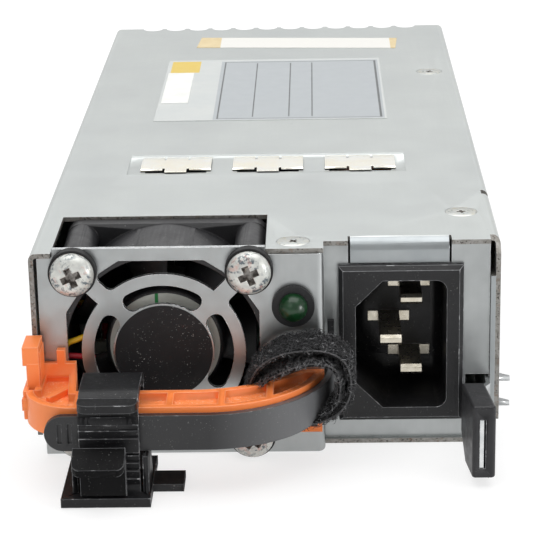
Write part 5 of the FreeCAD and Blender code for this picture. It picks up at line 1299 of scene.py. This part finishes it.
@dataclass
class Casing(Assembly):
    """Sheet-metal tray, cover, panels, and what is stuck to them.

    Attributes:
        sheet_mm: Width below which a face is a cut edge.
        ear_mm: How far the ear that carries the handle stops short, inside the handle's wall.
        step_mm: More than the depth of the pressed recess, whose walls are plated and not cut.
        wall_mm: Width at the tray's right side whose front edge gets painted shade like a panel.
        setback_mm: How far a contact's outer fingers end behind its middle one.
        finger_mm: Length of a finger's end that takes part in that.
        patch_mm: How far the pale patch on the paper tape stands in from its left and right ends.
    """

    sheet_mm: float = 1.3
    ear_mm: float = 1.9
    step_mm: float = 0.6
    wall_mm: float = 3.0
    setback_mm: float = 1.4
    finger_mm: float = 0.3
    patch_mm: tuple[float, float] = (6.0, 2.0)

    def build(self) -> None:
        """Dress the sheets, then the contacts and labels."""
        self.cover()
        self.tray()
        panel = self.refine("front_panel", (PANEL_STEEL, BRIGHT_EDGE), self.sheet_mm)
        self.rub_and_highlight("front_panel", panel, BRIGHT_EDGE, thick_mm=0.12, angle=60.0)
        self.refine("rear_panel", (STEEL, CUT_EDGE), self.sheet_mm)
        self.contacts()
        self.labels()
        self.dress("insulating_liner", LINER)
        self.dress("standoffs", NICKEL)

    def cover(self) -> None:
        """The cover, its ear trimmed and the walls of its recess plated."""
        made = self.refine("top_cover", (STEEL, CUT_EDGE, SHADED_FRONT_STEEL), self.sheet_mm, front=True).data
        corner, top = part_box("top_cover")
        end, step = corner.y + self.ear_mm * MM, self.step_mm * MM
        for vert in made.vertices:
            vert.co.y = max(vert.co.y, end)
        for face in made.polygons:
            heights = [made.vertices[number].co.z for number in face.vertices]
            upright = abs(face.normal.z) < STEEP and face.normal.y < STEEP
            if upright and max(heights) - min(heights) < step and face.center.z > top.z - step:
                face.material_index = 0

    def tray(self) -> None:
        """The tray, with painted shade where its right wall faces forward."""
        made = self.refine("base_tray", (STEEL, CUT_EDGE, SHADED_FRONT_STEEL), self.sheet_mm, front=True).data
        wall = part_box("base_tray")[1].x - self.wall_mm * MM
        for face in made.polygons:
            if face.normal.y < SQUARE_ON and face.center.x > wall:
                face.material_index = 2

    def contacts(self) -> None:
        """The three spring contacts, each with its middle finger longest."""
        shape = merged("contact_springs")
        for group in islands(shape):
            verts = {vert for face in group for vert in face.verts}
            left, right = (pick(vert.co.x for vert in verts) for pick in (min, max))
            front = min(vert.co.y for vert in verts)
            for vert in verts:
                if vert.co.y < front + (self.setback_mm + self.finger_mm) * MM:
                    inner = 1 / 3 < (vert.co.x - left) / (right - left) < 2 / 3
                    vert.co.y = front if inner else front + self.setback_mm * MM
        self.weighted(self.piece("contact_springs_finished", shape, (NICKEL_STRIP,), "contact_springs"))

    def labels(self) -> None:
        """The rating label with its plain rules, the bare sticker and the paper tape."""
        film = Printed("clear_rating_film", "#C9CCCA", "#C4C8C7", 0.4, 9.0, 0.04, 0.4, 0.003,
                       marks=rating_marks(*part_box("rating_label")))
        self.dress("rating_label", film)
        self.dress("serial_sticker", FOIL)
        low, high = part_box("tape_strip")
        left, right = low.x + self.patch_mm[0] * MM, high.x - self.patch_mm[1] * MM
        paper = Printed("cream_masking_tape", "#DCCBA5", "#D3C097", 0.7, 5.0, 0.06, 0.5, 0.02,
                        marks=(Patch("#E2E1DC", (left, low.y), (right, high.y)),))
        self.dress("tape_strip", paper)


@dataclass
class FanUnit(Assembly):
    """Fan, its label, grommets, film over the guard's hub and leads.

    Attributes:
        yellow_mm: Points of the yellow lead where it crosses the bore, from the frame's lowest corner.
        red_mm: The same for the red lead.
        lead_mm: Thickness of a lead.
        tick_mm: Where the label's tick stands left of the middle, its half width and its length.
    """

    yellow_mm: tuple[tuple[float, float, float], ...] = (
        (0.5, 1.3, 19.0), (0.9, 1.35, 20.1), (2.3, 1.4, 20.5), (3.7, 1.35, 21.1), (5.2, 1.3, 21.6))
    red_mm: tuple[tuple[float, float, float], ...] = (
        (0.4, 1.2, 17.0), (0.9, 1.25, 17.6), (2.8, 1.3, 17.5), (4.6, 1.3, 17.3), (6.0, 1.2, 17.0))
    lead_mm: float = 1.1
    tick_mm: tuple[float, float, float] = (1.3, 0.32, 2.4)

    def build(self) -> None:
        """Dress the fan and make its label and leads."""
        self.refine("fan_frame", (FAN_PLASTIC,))
        self.refine("fan_rotor", (FAN_PLASTIC,))
        self.refine("fan_grommets", (RUBBER,))
        self.dress("guard_sticker", VINYL)
        self.dress("fan_shaft", SPRING)
        self.dress("fan_bearings", BRASS)
        self.dress("fan_stator", COPPER)
        self.dress("fan_hub_label", self.label_print())
        self.dress("fan_socket", WHITE_NYLON)
        self.leads("fan_leads", (YELLOW_LEAD, RED_LEAD, BLACK_LEAD), Vector((0.0, 0.0, -1.0)))
        for name, path, finish in (("yellow", self.yellow_mm, YELLOW_LEAD), ("red", self.red_mm, RED_LEAD)):
            self.strand(name + "_fan_strand", path, finish)

    def strand(self, name: str, path: tuple[tuple[float, float, float], ...], finish: Finish) -> None:
        """One lead where it crosses the front of the bore.

        Args:
            name: The piece's name.
            path: Its points in millimetres from the frame's lowest corner.
            finish: Its finish.
        """
        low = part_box("fan_frame")[0]
        data = new_curve(name, self.lead_mm / 2)
        smooth_path(data, (low + Vector(spot) * MM for spot in path))
        self.piece(name, pour(bmesh.new(), curve_mesh(data)), (finish,), "fan_leads", TUBE, hide=False)

    def label_print(self) -> Printed:
        """Foil paper with one green tick near the top of its ring.

        Returns:
            The label's finish.
        """
        low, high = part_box("fan_hub_label")
        left, half, length = (part * MM for part in self.tick_mm)
        x = (low.x + high.x) / 2 - left
        tick = Patch("#2F8A4C", (x - half, high.z - length), (x + half, high.z + MM))
        return Printed("foil_hub_label", "#CFD0C8", "#C6C7BF", 0.45, 3.0, 0.05, 0.3, 0.004, marks=(tick,),
                       along=2)


@dataclass
class Indicator(Assembly):
    """The status lamp beside the fan."""

    def build(self) -> None:
        """Dress the bezel and the domed lens."""
        self.refine("led_bezel", (HOUSING,))
        self.refine("led_lens", (LENS,))


@dataclass
class MainsInlet(Assembly):
    """The appliance inlet and its leads.

    Attributes:
        tip_mm: Length of blade that counts as its tip.
        tip_forward_mm: How much nearer the mouth the tips stand.
    """

    tip_mm: float = 5.0
    tip_forward_mm: float = 1.6

    def build(self) -> None:
        """Dress the inlet's housing, blades and leads."""
        body = self.refine("inlet_body", (HOUSING,), angle=20.0)
        self.rub_and_highlight("inlet_body", body, HOUSING_EDGE_SCUFF_AND_HIGHLIGHT, thick_mm=0.15)
        self.blades()
        self.leads("mains_leads", (BLUE_LEAD, GREEN_LEAD, BROWN_LEAD), Vector((1.0, 0.0, 0.0)))

    def blades(self) -> None:
        """The three blades, their tips a little nearer the mouth."""
        shape = merged("inlet_blades")
        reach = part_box("inlet_blades")[0].y + self.tip_mm * MM
        tips = [vert for vert in shape.verts if vert.co.y < reach]
        bmesh.ops.translate(shape, vec=(0.0, -self.tip_forward_mm * MM, 0.0), verts=tips)
        self.piece("inlet_blades_finished", shape, (NICKEL,), "inlet_blades", smooth=3.0)


@dataclass
class Latch(Assembly):
    """The sprung side latch with its thumb cap.

    Attributes:
        round_mm: Rounding of the cap's outer edges.
        slot_mm: Corners of the slot in its face, from the cap's lowest corner.
        flat: Facets of the cap that meet at less than this many degrees become one.
        corner: Edges of the cap sharper than this many degrees are rolled over.
        smooth: Edges of the finished cap sharper than this many degrees stay sharp.
        edge_mm: Width below which a face of the leaf is a cut edge.
        end_mm: Length of leaf that counts as its tip.
        tip_mm: How much further forward the leaf's tip stands.
    """

    round_mm: float = 0.6
    slot_mm: tuple[tuple[float, float, float], ...] = ((2.55, -1.0, 1.9), (3.65, 5.0, 11.3))
    flat: float = 12.0
    corner: float = 25.0
    smooth: float = 40.0
    edge_mm: float = 0.9
    end_mm: float = 0.2
    tip_mm: float = 1.45

    def build(self) -> None:
        """Dress the leaf and the cap."""
        self.leaf()
        self.cap()
        self.dress("latch_root", SPRING)

    def cap(self) -> None:
        """The thumb cap, its long edges rolled over and its slot left crisp."""
        made = self.piece("latch_cap_finished", self.rolled(), (CAP_NYLON,), "latch_cap", self.smooth)
        slot = bmesh.new()
        near, far = (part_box("latch_cap")[0] + Vector(point) * MM for point in self.slot_mm)
        box(slot, far - near, (near + far) / 2)
        tool = linked("slot", plain("slot", slot))
        assign(tool, (CAP_NYLON,))
        carve(made, tool)
        made.data.shade_smooth()
        made.data.set_sharp_from_angle(angle=math.radians(self.smooth))
        self.weighted(made)
        self.rub_and_highlight("latch_cap", made, HOUSING_EDGE_SCUFF_AND_HIGHLIGHT, thick_mm=0.12, angle=50.0)

    def rolled(self) -> bmesh.types.BMesh:
        """The cap's outer form without its slot, as a solid with its edges rolled over.

        Returns:
            The solid.
        """
        shape = merged("latch_cap")
        hull = bmesh.ops.convex_hull(shape, input=shape.verts)
        spare = list({*hull["geom_interior"], *hull["geom_unused"]})
        bmesh.ops.delete(shape, geom=spare, context="VERTS")
        skin = set(hull["geom"])
        bmesh.ops.delete(shape, geom=[face for face in shape.faces if face not in skin], context="FACES")
        bmesh.ops.dissolve_limit(shape, angle_limit=math.radians(self.flat), verts=shape.verts,
                                 edges=shape.edges)
        bmesh.ops.recalc_face_normals(shape, faces=shape.faces)
        outer = [edge for edge in shape.edges
                 if edge.is_manifold and edge.calc_face_angle() > math.radians(self.corner)]
        roll(shape, outer, self.round_mm, 4, clamp=True)
        return shape

    def leaf(self) -> None:
        """The spring leaf, its tip flush with the cap's slot."""
        shape = merged("latch_leaf")
        for face in narrow(shape, self.edge_mm):
            face.material_index = 1
        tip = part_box("latch_leaf")[0].y + self.end_mm * MM
        ends = [vert for vert in shape.verts if vert.co.y < tip]
        bmesh.ops.translate(shape, vec=(0.0, -self.tip_mm * MM, 0.0), verts=ends)
        self.weighted(self.piece("latch_leaf_finished", shape, (SPRING, BRIGHT_EDGE), "latch_leaf"))


@dataclass
class PullHandle(Assembly):
    """Orange handle, and the strap round it. Its places are measured from the handle's lowest corner.

    Attributes:
        floor_mm: Height of the pocket floors.
        fill_mm: How much shallower the finished pockets are.
        guards: Corners of the thin walls that wrap the casing's ear.
        post_mm: Width of the post's head, height of its construction underside and of its finished one.
        slack_mm: Difference of height within which a point belongs to that underside, or to a pocket floor.
        bend_mm: Length over which the strap's lower edge rises at its bend, and by how much.
        rib_mm: Start and end of the slanting rib in the left pocket.
        rib_levels: The rib's underside and top.
        rib_width: Its width.
        corner_mm: Rounding of the walls' and the rib's edges.
    """

    floor_mm: float = 9.3
    fill_mm: float = 1.0
    guards: tuple[tuple[tuple[float, float, float], tuple[float, float, float]], ...] = (
        ((0.1, 8.2, 6.1), (1.1, 17.2, 11.7)), ((0.7, 10.1, 11.0), (3.1, 11.0, 16.2)))
    post_mm: tuple[float, float, float] = (3.1, 17.4, 15.8)
    slack_mm: tuple[float, float] = (0.3, 0.1)
    bend_mm: tuple[float, float] = (9.0, 1.3)
    rib_mm: tuple[tuple[float, float], tuple[float, float]] = ((4.9, 5.6), (8.7, 11.4))
    rib_levels: tuple[float, float] = (10.0, 11.6)
    rib_width: float = 1.0
    corner_mm: float = 0.25

    def build(self) -> None:
        """Dress the handle and strap."""
        shape = merged("handle")
        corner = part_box("handle")[0]
        self.pockets(shape, corner.z + self.floor_mm * MM)
        self.post(shape, corner)
        for guard in self.guards:
            near, far = (corner + Vector(point) * MM for point in guard)
            self.wall(shape, far - near, (near + far) / 2)
        self.rib(shape, corner)
        made = self.weighted(self.piece("handle_finished", shape, (ORANGE, FROSTED_ORANGE), "handle"))
        self.rub_and_highlight("handle", made, PALE_ORANGE, thick_mm=0.16)
        self.strap()
        self.refine("strap_anchor", (NYLON,))

    def pockets(self, shape: bmesh.types.BMesh, level: float) -> None:
        """Frost the pocket floors and raise them.

        Args:
            shape: The handle's mesh.
            level: Height of the floors, in metres.
        """
        slack = self.slack_mm[1] * MM
        floors = [face for face in shape.faces
                  if face.normal.z > LEVEL and abs(face.calc_center_median().z - level) < slack]
        for face in floors:
            face.material_index = 1
        raised = list({vert for face in floors for vert in face.verts})
        bmesh.ops.translate(shape, vec=(0.0, 0.0, self.fill_mm * MM), verts=raised)

    def post(self, shape: bmesh.types.BMesh, corner: Vector) -> None:
        """Lower the underside of the post's head.

        Args:
            shape: The handle's mesh.
            corner: Its lowest corner.
        """
        width, found, wanted = self.post_mm
        for vert in shape.verts:
            rise = (vert.co.z - corner.z) / MM
            if vert.co.x < corner.x + width * MM and found < rise < found + self.slack_mm[0]:
                vert.co.z = corner.z + wanted * MM

    def strap(self) -> None:
        """The strap, its lower edge rising towards its bend at the right."""
        made = self.refine("strap", (STRAP_NYLON,))
        low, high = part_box("strap")
        for vert in made.data.vertices:
            bend = 1.0 - (high.x - vert.co.x) / (self.bend_mm[0] * MM)
            if bend > 0.0 and vert.co.z < (low.z + high.z) / 2:
                vert.co.z += self.bend_mm[1] * MM * bend * bend
        self.rub_and_highlight("strap", made, STRAP_EDGE_SCUFF_AND_HIGHLIGHT)

    def rib(self, shape: bmesh.types.BMesh, corner: Vector) -> None:
        """Add the slanting rib to the handle's mesh.

        Args:
            shape: The handle's mesh.
            corner: Its lowest corner.
        """
        level = sum(self.rib_levels) / 2
        near, far = (corner + Vector((*spot, level)) * MM for spot in self.rib_mm)
        run = far - near
        height = self.rib_levels[1] - self.rib_levels[0]
        size = Vector((run.length, self.rib_width * MM, height * MM))
        self.wall(shape, size, (near + far) / 2, math.atan2(run.y, run.x))

    def wall(self, shape: bmesh.types.BMesh, size: Vector, centre: Vector, turn: float = 0.0) -> None:
        """Add a wall with rolled edges to the handle's mesh.

        Args:
            shape: The handle's mesh.
            size: The wall's length along each axis, before it is turned.
            centre: Its middle.
            turn: How far it is turned about Z, in radians.
        """
        roll(shape, new_edges(box(shape, size, centre, turn)), self.corner_mm, 2)


@dataclass
class TapeTurns(Assembly):
    """Two turns of hook-and-loop tape that hold the strap's end to the handle.

    Attributes:
        outer: Place across, place up and set-back of the outer turn's front edge, as shares of the tape's box.
        inner: The same for the inner turn.
        rows: Rows of faces across the width of a turn.
        weave_mm: Thickness of the woven back.
        yarn_mm: Half thickness of the yarn along the front edges.
        hair_mm: Thickness of a fibre, several times a real one's so that it shows.
        pile: Number of fibres on the outside.
        loops: Number of loops on each of the three sides that face inwards.
        seed: Start of the seeded chance that places them.
        lean: How far a fibre may lean from upright, as a share of its height.
        step: Degrees of curl that one straight piece of a fibre takes.
    """

    outer: tuple[tuple[float, float, float], ...] = (
        (0.05, 0.56, 0.45), (0.14, 0.78, 0.25), (0.34, 0.94, 0.05), (0.62, 0.985, 0.0), (0.80, 0.95, 0.0),
        (0.925, 0.85, 0.0), (0.97, 0.66, 0.05), (0.96, 0.46, 0.12), (0.87, 0.28, 0.2), (0.68, 0.16, 0.25),
        (0.44, 0.12, 0.3), (0.2, 0.14, 0.4), (0.06, 0.24, 0.5), (0.03, 0.4, 0.5))
    inner: tuple[tuple[float, float, float], ...] = (
        (0.10, 0.50, 0.45), (0.19, 0.60, 0.35), (0.30, 0.69, 0.2), (0.46, 0.80, 0.05), (0.64, 0.85, 0.0),
        (0.81, 0.80, 0.05), (0.87, 0.65, 0.15), (0.87, 0.44, 0.25), (0.81, 0.29, 0.3), (0.68, 0.20, 0.35))
    rows: int = 6
    weave_mm: float = 0.5
    yarn_mm: float = 0.17
    hair_mm: float = 0.13
    pile: int = 5000
    loops: int = 1000
    seed: int = 11
    lean: float = 0.8
    step: float = 48.0

    def build(self) -> None:
        """Lay both turns, edge them with yarn, and set the pile and loops on them."""
        outside, inside = self.band(self.outer, True), self.band(self.inner, False)
        dice = random.Random(self.seed)
        pile = self.fibres(outside, self.pile, dice, (0.3, 0.75), 190.0, 1.0)
        loops = [self.fibres(outside, self.loops, dice, (0.35, 0.65), 320.0, -1.0),
                 self.fibres(inside, self.loops, dice, (0.35, 0.65), 320.0, 1.0),
                 self.fibres(inside, self.loops, dice, (0.35, 0.7), 320.0, -1.0)]
        for band in (outside, inside):
            bmesh.ops.solidify(band, geom=band.faces, thickness=self.weave_mm * MM)
            bmesh.ops.recalc_face_normals(band, faces=band.faces)
        self.piece("tape_weave", self.joined((outside, inside)), (FUZZ,), "hook_loop_tape",
                   smooth=50.0)
        yarn = bmesh.new()
        for path, closed in ((self.outer, True), (self.inner, False)):
            pour(yarn, self.line(path, closed, self.yarn_mm))
        self.piece("tape_edge_yarn", yarn, (EDGE_YARN,), "hook_loop_tape", TUBE)
        self.piece("tape_pile", pile, (PILE,), "hook_loop_tape", FIBRE)
        self.piece("tape_loops", self.joined(loops), (LOOP_YARN,), "hook_loop_tape", FIBRE)

    def joined(self, parts: Iterable[bmesh.types.BMesh]) -> bmesh.types.BMesh:
        """One working mesh that holds several, which are freed.

        Args:
            parts: The meshes.

        Returns:
            The joined mesh.
        """
        whole = bmesh.new()
        for part in parts:
            pour(whole, plain("part", part))
        return whole

    def line(self, path: tuple[tuple[float, float, float], ...], closed: bool,
             half_mm: float = 0.0) -> bpy.types.Mesh:
        """Mesh of a smooth line along the front edge of a turn.

        Args:
            path: Shares of the tape's box.
            closed: Whether the turn closes.
            half_mm: Half thickness of the line, or nothing for bare points.

        Returns:
            The mesh.
        """
        low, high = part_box("hook_loop_tape")
        span = high - low
        data = new_curve("turn", half_mm)
        data.bevel_resolution = 1
        spots = (Vector((low.x + across * span.x, low.y + back * span.y, low.z + up * span.z))
                 for across, up, back in path)
        smooth_path(data, spots, closed).resolution_u = 8
        return curve_mesh(data)

    def band(self, path: tuple[tuple[float, float, float], ...], closed: bool) -> bmesh.types.BMesh:
        """One turn of bare tape, from its front edge to its rear one.

        Args:
            path: Shares of the tape's box.
            closed: Whether the turn closes.

        Returns:
            The open strip, facing outwards.
        """
        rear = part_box("hook_loop_tape")[1].y
        shape = pour(bmesh.new(), self.line(path, closed))
        edges = list(shape.edges)
        for row in range(self.rows):
            grown = bmesh.ops.extrude_edge_only(shape, edges=edges)["geom"]
            edges = [item for item in grown if isinstance(item, bmesh.types.BMEdge)]
            for vert in (item for item in grown if isinstance(item, bmesh.types.BMVert)):
                vert.co.y += (rear - vert.co.y) / (self.rows - row)
        centre = middle(shape.faces)
        shape.normal_update()
        for face in shape.faces:
            if face.normal.dot(face.calc_center_median() - centre) < 0:
                face.normal_flip()
        return shape

    def curl(self, turn: float) -> bmesh.types.BMesh:
        """One fibre, curled round a point one millimetre away, with its ends drawn to a point.

        Args:
            turn: Degrees that it curls through.

        Returns:
            The fibre.
        """
        shape = bmesh.new()
        ring = bmesh.ops.create_circle(shape, cap_ends=False, radius=self.hair_mm * MM / 2, segments=3)["verts"]
        steps = round(turn / self.step)
        grown = bmesh.ops.spin(shape, geom=[*ring, *shape.edges], axis=Axis.Y.value, cent=(MM, 0.0, 0.0),
                               angle=math.radians(turn), steps=steps, use_merge=False)["geom_last"]
        for end in (ring, [item for item in grown if isinstance(item, bmesh.types.BMVert)]):
            tip = sum((vert.co for vert in end), Vector()) / len(end)
            bmesh.ops.pointmerge(shape, verts=end, merge_co=tip)
        bmesh.ops.recalc_face_normals(shape, faces=shape.faces)
        return shape

    def fibres(self, band: bmesh.types.BMesh, count: int, dice: random.Random,
               radius_mm: tuple[float, float], turn: float, side: float) -> bmesh.types.BMesh:
        """Curled fibres that stand on one side of a strip.

        The strip's faces and their first corners are put in order, because their own order varies.

        Args:
            band: The strip.
            count: How many.
            dice: Source of seeded chance.
            radius_mm: Smallest and largest radius of their curl.
            turn: Degrees that each curls through.
            side: One for the outside, minus one for the inside.

        Returns:
            The fibres.
        """
        def place(point: Vector) -> tuple[float, ...]:
            """A point's rounded place, to sort by."""
            return tuple(round(value, 6) for value in point)

        curl = self.curl(turn)
        faces = sorted(band.faces, key=lambda face: place(face.calc_center_median()))
        weights = [face.calc_area() for face in faces]
        made = bmesh.new()
        for face in dice.choices(faces, weights, k=count):
            corners = [vert.co for vert in face.verts]
            first = corners.index(min(corners, key=place))
            corners = corners[first:] + corners[:first]
            one, two = dice.random(), dice.random()
            near, far = corners[0].lerp(corners[1], one), corners[3].lerp(corners[2], one)
            spot = near.lerp(far, two)
            lean = Vector([dice.uniform(-1.0, 1.0) for _ in range(3)])
            rise = (face.normal * side + lean * self.lean).normalized()
            turned_up = Vector((0.0, 0.0, 1.0)).rotation_difference(rise).to_matrix().to_4x4()
            size = dice.uniform(*radius_mm)
            about = Matrix.Rotation(dice.uniform(0.0, math.tau), 4, "Z")
            sized = Matrix.Diagonal((size, 1.0, size, 1.0))
            copy = curl.copy()
            copy.transform(Matrix.Translation(spot) @ turned_up @ about @ sized)
            pour(made, plain("curl", copy))
        curl.free()
        return made


@dataclass
class CableClip(Assembly):
    """The clip that grips a mains cord.

    Attributes:
        line_mm: Thickness of the edge hairlines, partly scuffed and partly painted highlight.
        lip_mm: Where the band's own lip starts, back from its front and up from its underside.
        stub_mm: How far behind that start the band ends without its lip.
        lip_at_mm: Middle of the finished lip, measured like its start.
        lip_size_mm: Depth and thickness of the finished lip.
        lip_corner_mm: Rounding of its front corners.
    """

    line_mm: float = 0.19
    lip_mm: tuple[float, float] = (2.3, 5.3)
    stub_mm: float = 0.4
    lip_at_mm: tuple[float, float] = (2.5, 9.2)
    lip_size_mm: tuple[float, float] = (3.6, 1.5)
    lip_corner_mm: float = 1.8

    def build(self) -> None:
        """Dress the slide, the band and the thumb lever."""
        self.rub_and_highlight("clip_base", self.refine("clip_base", (NYLON,)), NYLON_EDGE_SCUFF_AND_HIGHLIGHT, self.line_mm)
        self.rub_and_highlight("clip_lever", self.refine("clip_lever", (LEVER_NYLON,)), NYLON_EDGE_SCUFF_AND_HIGHLIGHT, self.line_mm)
        shape = merged("clip_band")
        low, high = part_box("clip_band")
        back, up = (part * MM for part in self.lip_mm)
        for vert in shape.verts:
            if vert.co.y < low.y + back and vert.co.z > low.z + up:
                vert.co.y = low.y + (self.lip_mm[0] + self.stub_mm) * MM
        self.lip(shape, low, high)
        made = self.weighted(self.piece("clip_band_finished", shape, (NYLON,), "clip_band"))
        self.rub_and_highlight("clip_band", made, NYLON_EDGE_SCUFF_AND_HIGHLIGHT, self.line_mm)

    def lip(self, shape: bmesh.types.BMesh, low: Vector, high: Vector) -> None:
        """Add the finger lip with its rounded front corners to the band's mesh.

        Args:
            shape: The band's mesh.
            low: Lowest corner of the construction band.
            high: Its highest corner.
        """
        size = Vector((high.x - low.x, self.lip_size_mm[0] * MM, self.lip_size_mm[1] * MM))
        back, up = (part * MM for part in self.lip_at_mm)
        centre = Vector(((low.x + high.x) / 2, low.y + back, low.z + up))
        upright = [edge for edge in new_edges(box(shape, size, centre))
                   if abs(edge.verts[0].co.z - edge.verts[1].co.z) > MM and edge.verts[0].co.y < centre.y]
        roll(shape, upright, self.lip_corner_mm, 5)


@dataclass
class Board(Assembly):
    """The circuit board and what stands on it."""

    def build(self) -> None:
        """Dress the parts inside the casing."""
        finishes = {
            "main_board": LAMINATE, "edge_contacts": GOLD, "bulk_capacitor": SLEEVE, "pfc_choke": COPPER,
            "transformer_core": FERRITE, "transformer_coil": WRAP, "primary_heatsink": ALUMINIUM,
            "secondary_heatsink": ALUMINIUM, "emi_choke": COPPER, "x_capacitor": BOX_CAP,
            "output_capacitors": CAN, "control_card": LAMINATE,
        }
        for node, finish in finishes.items():
            self.dress(node, finish)


@dataclass
class Studio:
    """Pale floor, white surround, soft lamps and the camera.

    Attributes:
        lens: Focal length on the 36 mm sensor.
        spot: The camera's place.
        pitch: Degrees it looks down.
        yaw: Degrees it looks right.
        roll: Degrees it is rolled.
        world: Strength of the surround for lighting.
        glow: Strength at which floor and backdrop show white to the camera.
        reach: Distance from the middle of the floor to its edge, and height of the backdrop, in metres.
        sunk: How far the floor lies under the object, so that the two don't share a plane.
        lamps: Name, place, point it faces, side in metres and power in watts of each square lamp.
    """

    lens: float = 142.37
    spot: tuple[float, float, float] = (0.009417, -0.454226, 0.160237)
    pitch: float = 18.858
    yaw: float = -1.467
    roll: float = -1.169
    world: float = 0.5
    glow: float = 0.72
    reach: float = 4.0
    sunk: float = 0.02 * MM
    lamps: tuple[tuple, ...] = (
        ("overhead_lamp", (0.0, 0.1, 0.9), (0.0, 0.05, 0.0), 1.2, 9.0),
        ("front_lamp", (-0.5, -0.9, 0.7), (0.0, 0.0, 0.02), 0.6, 1.0),
        ("side_lamp", (1.0, -0.55, 0.16), (0.0, -0.09, 0.01), 0.4, 5.0))

    def build(self) -> None:
        """Set up the whole studio."""
        self.camera()
        self.surround()
        self.floor()
        for lamp in self.lamps:
            self.lamp(*lamp)
        bpy.context.scene.view_settings.view_transform = "Standard"

    def camera(self) -> None:
        """Place the camera."""
        down, side, tilt = (math.radians(angle) for angle in (self.pitch, self.yaw, self.roll))
        level = math.cos(down)
        ahead = Vector((math.sin(side) * level, math.cos(side) * level, -math.sin(down)))
        right = Vector((math.cos(side), -math.sin(side), 0.0))
        up = right.cross(ahead)
        across = right * math.cos(tilt) + up * math.sin(tilt)
        above = up * math.cos(tilt) - right * math.sin(tilt)
        data = bpy.data.cameras.new("camera")
        data.lens = self.lens
        data.clip_start, data.clip_end = 0.01, 20.0
        made = linked("camera", data)
        turn = Matrix((across, above, -ahead)).transposed().to_4x4()
        made.matrix_world = Matrix.Translation(self.spot) @ turn
        bpy.context.scene.camera = made

    def seen(self, tree: bpy.types.NodeTree) -> bpy.types.NodeSocket:
        """One for rays that come straight from the camera, a mirror or glass.

        Args:
            tree: The material's tree.

        Returns:
            That value.
        """
        path = add(tree, "ShaderNodeLightPath").outputs
        glossy = arithmetic(tree, "MAXIMUM", path["Is Camera Ray"], path["Is Glossy Ray"])
        return arithmetic(tree, "MAXIMUM", glossy, path["Is Transmission Ray"])

    def surround(self) -> None:
        """An even pale world."""
        world = bpy.data.worlds.new("surround")
        world.use_nodes = True
        tree = world.node_tree
        tree.nodes.clear()
        shade = add(tree, "ShaderNodeBackground", {"Color": linear("#FFFFFF"), "Strength": self.world})
        add(tree, "ShaderNodeOutputWorld", links={"Surface": shade.outputs[0]})
        bpy.context.scene.world = world

    def floor(self) -> None:
        """A wide floor and a backdrop behind it that show white and keep the object's soft shadow."""
        shape = bmesh.new()
        bmesh.ops.create_grid(shape, x_segments=1, y_segments=1, size=self.reach)
        bmesh.ops.translate(shape, vec=(0.0, 0.0, -self.sunk), verts=shape.verts)
        rear = [edge for edge in shape.edges if all(vert.co.y > 0.0 for vert in edge.verts)]
        raised = bmesh.ops.extrude_edge_only(shape, edges=rear)["geom"]
        corners = [item for item in raised if isinstance(item, bmesh.types.BMVert)]
        bmesh.ops.translate(shape, vec=(0.0, 0.0, self.reach), verts=corners)
        bmesh.ops.recalc_face_normals(shape, faces=shape.faces)
        made = linked("floor", plain("floor", shape))
        made.data.materials.append(self.paper())

    def paper(self) -> bpy.types.Material:
        """White studio paper: plain to the light, and glowing white to the camera and mirrors.

        Returns:
            The material.
        """
        material = bpy.data.materials.new("white_studio_paper")
        material.use_nodes = True
        tree = material.node_tree
        tree.nodes.clear()
        matt = add(tree, "ShaderNodeBsdfDiffuse", {"Color": linear("#EBEBEB")})
        faint = add(tree, "ShaderNodeBsdfDiffuse", {"Color": linear("#9A9A9A")})
        glow = add(tree, "ShaderNodeEmission", {"Color": linear("#FFFFFF"), "Strength": self.glow})
        bright = add(tree, "ShaderNodeAddShader", links={0: faint.outputs[0], 1: glow.outputs[0]})
        parts = {0: self.seen(tree), 1: matt.outputs[0], 2: bright.outputs[0]}
        mix = add(tree, "ShaderNodeMixShader", links=parts)
        add(tree, "ShaderNodeOutputMaterial", links={"Surface": mix.outputs[0]})
        return material

    def lamp(self, name: str, spot: tuple[float, float, float], aim: tuple[float, float, float],
             size: float, power: float) -> None:
        """Add one soft square lamp.

        Args:
            name: Its name.
            spot: Its place.
            aim: The point it faces.
            size: Its side in metres.
            power: Its power in watts.
        """
        data = bpy.data.lights.new(name, "AREA")
        data.size = size
        data.energy = power
        turn = (Vector(spot) - Vector(aim)).to_track_quat("Z", "Y").to_matrix().to_4x4()
        linked(name, data).matrix_world = Matrix.Translation(spot) @ turn


# Radius and height in millimetres of a worn pan head's and a flush head's half outline.
PAN_HEAD = ((0.0, 2.4), (2.2, 2.37), (3.0, 2.2), (3.6, 1.75), (3.92, 1.05), (4.0, 0.3), (3.95, 0.0), (0.0, 0.0))
FLUSH_HEAD = ((0.0, 1.6), (2.85, 1.6), (3.0, 1.5), (1.6, 0.1), (1.5, 0.0), (0.0, 0.0))


def main() -> None:
    """Build the studio and then every group of pieces, and report each."""
    logging.basicConfig(level=logging.INFO, format="%(name)s: %(message)s")
    Studio().build()
    groups = (
        Casing(), FanUnit(), Indicator(), MainsInlet(), Latch(), PullHandle(), TapeTurns(), CableClip(),
        Board(),
        Screws(node="fan_screws", outline=PAN_HEAD, turns=(23.0, 23.0, 53.0)),
        Screws(node="cover_screws", outline=FLUSH_HEAD, recess=(2.4, 0.6, 0.8), turns=(40.0, 10.0, 70.0),
               outward=Vector((0.0, 0.0, 1.0)), finish=PASSIVATED),
    )
    for group in groups:
        group.build()
        LOG.info("%s: %s", type(group).__name__, ", ".join(group.made) or "construction nodes dressed")


if __name__ == "__main__":
    main()
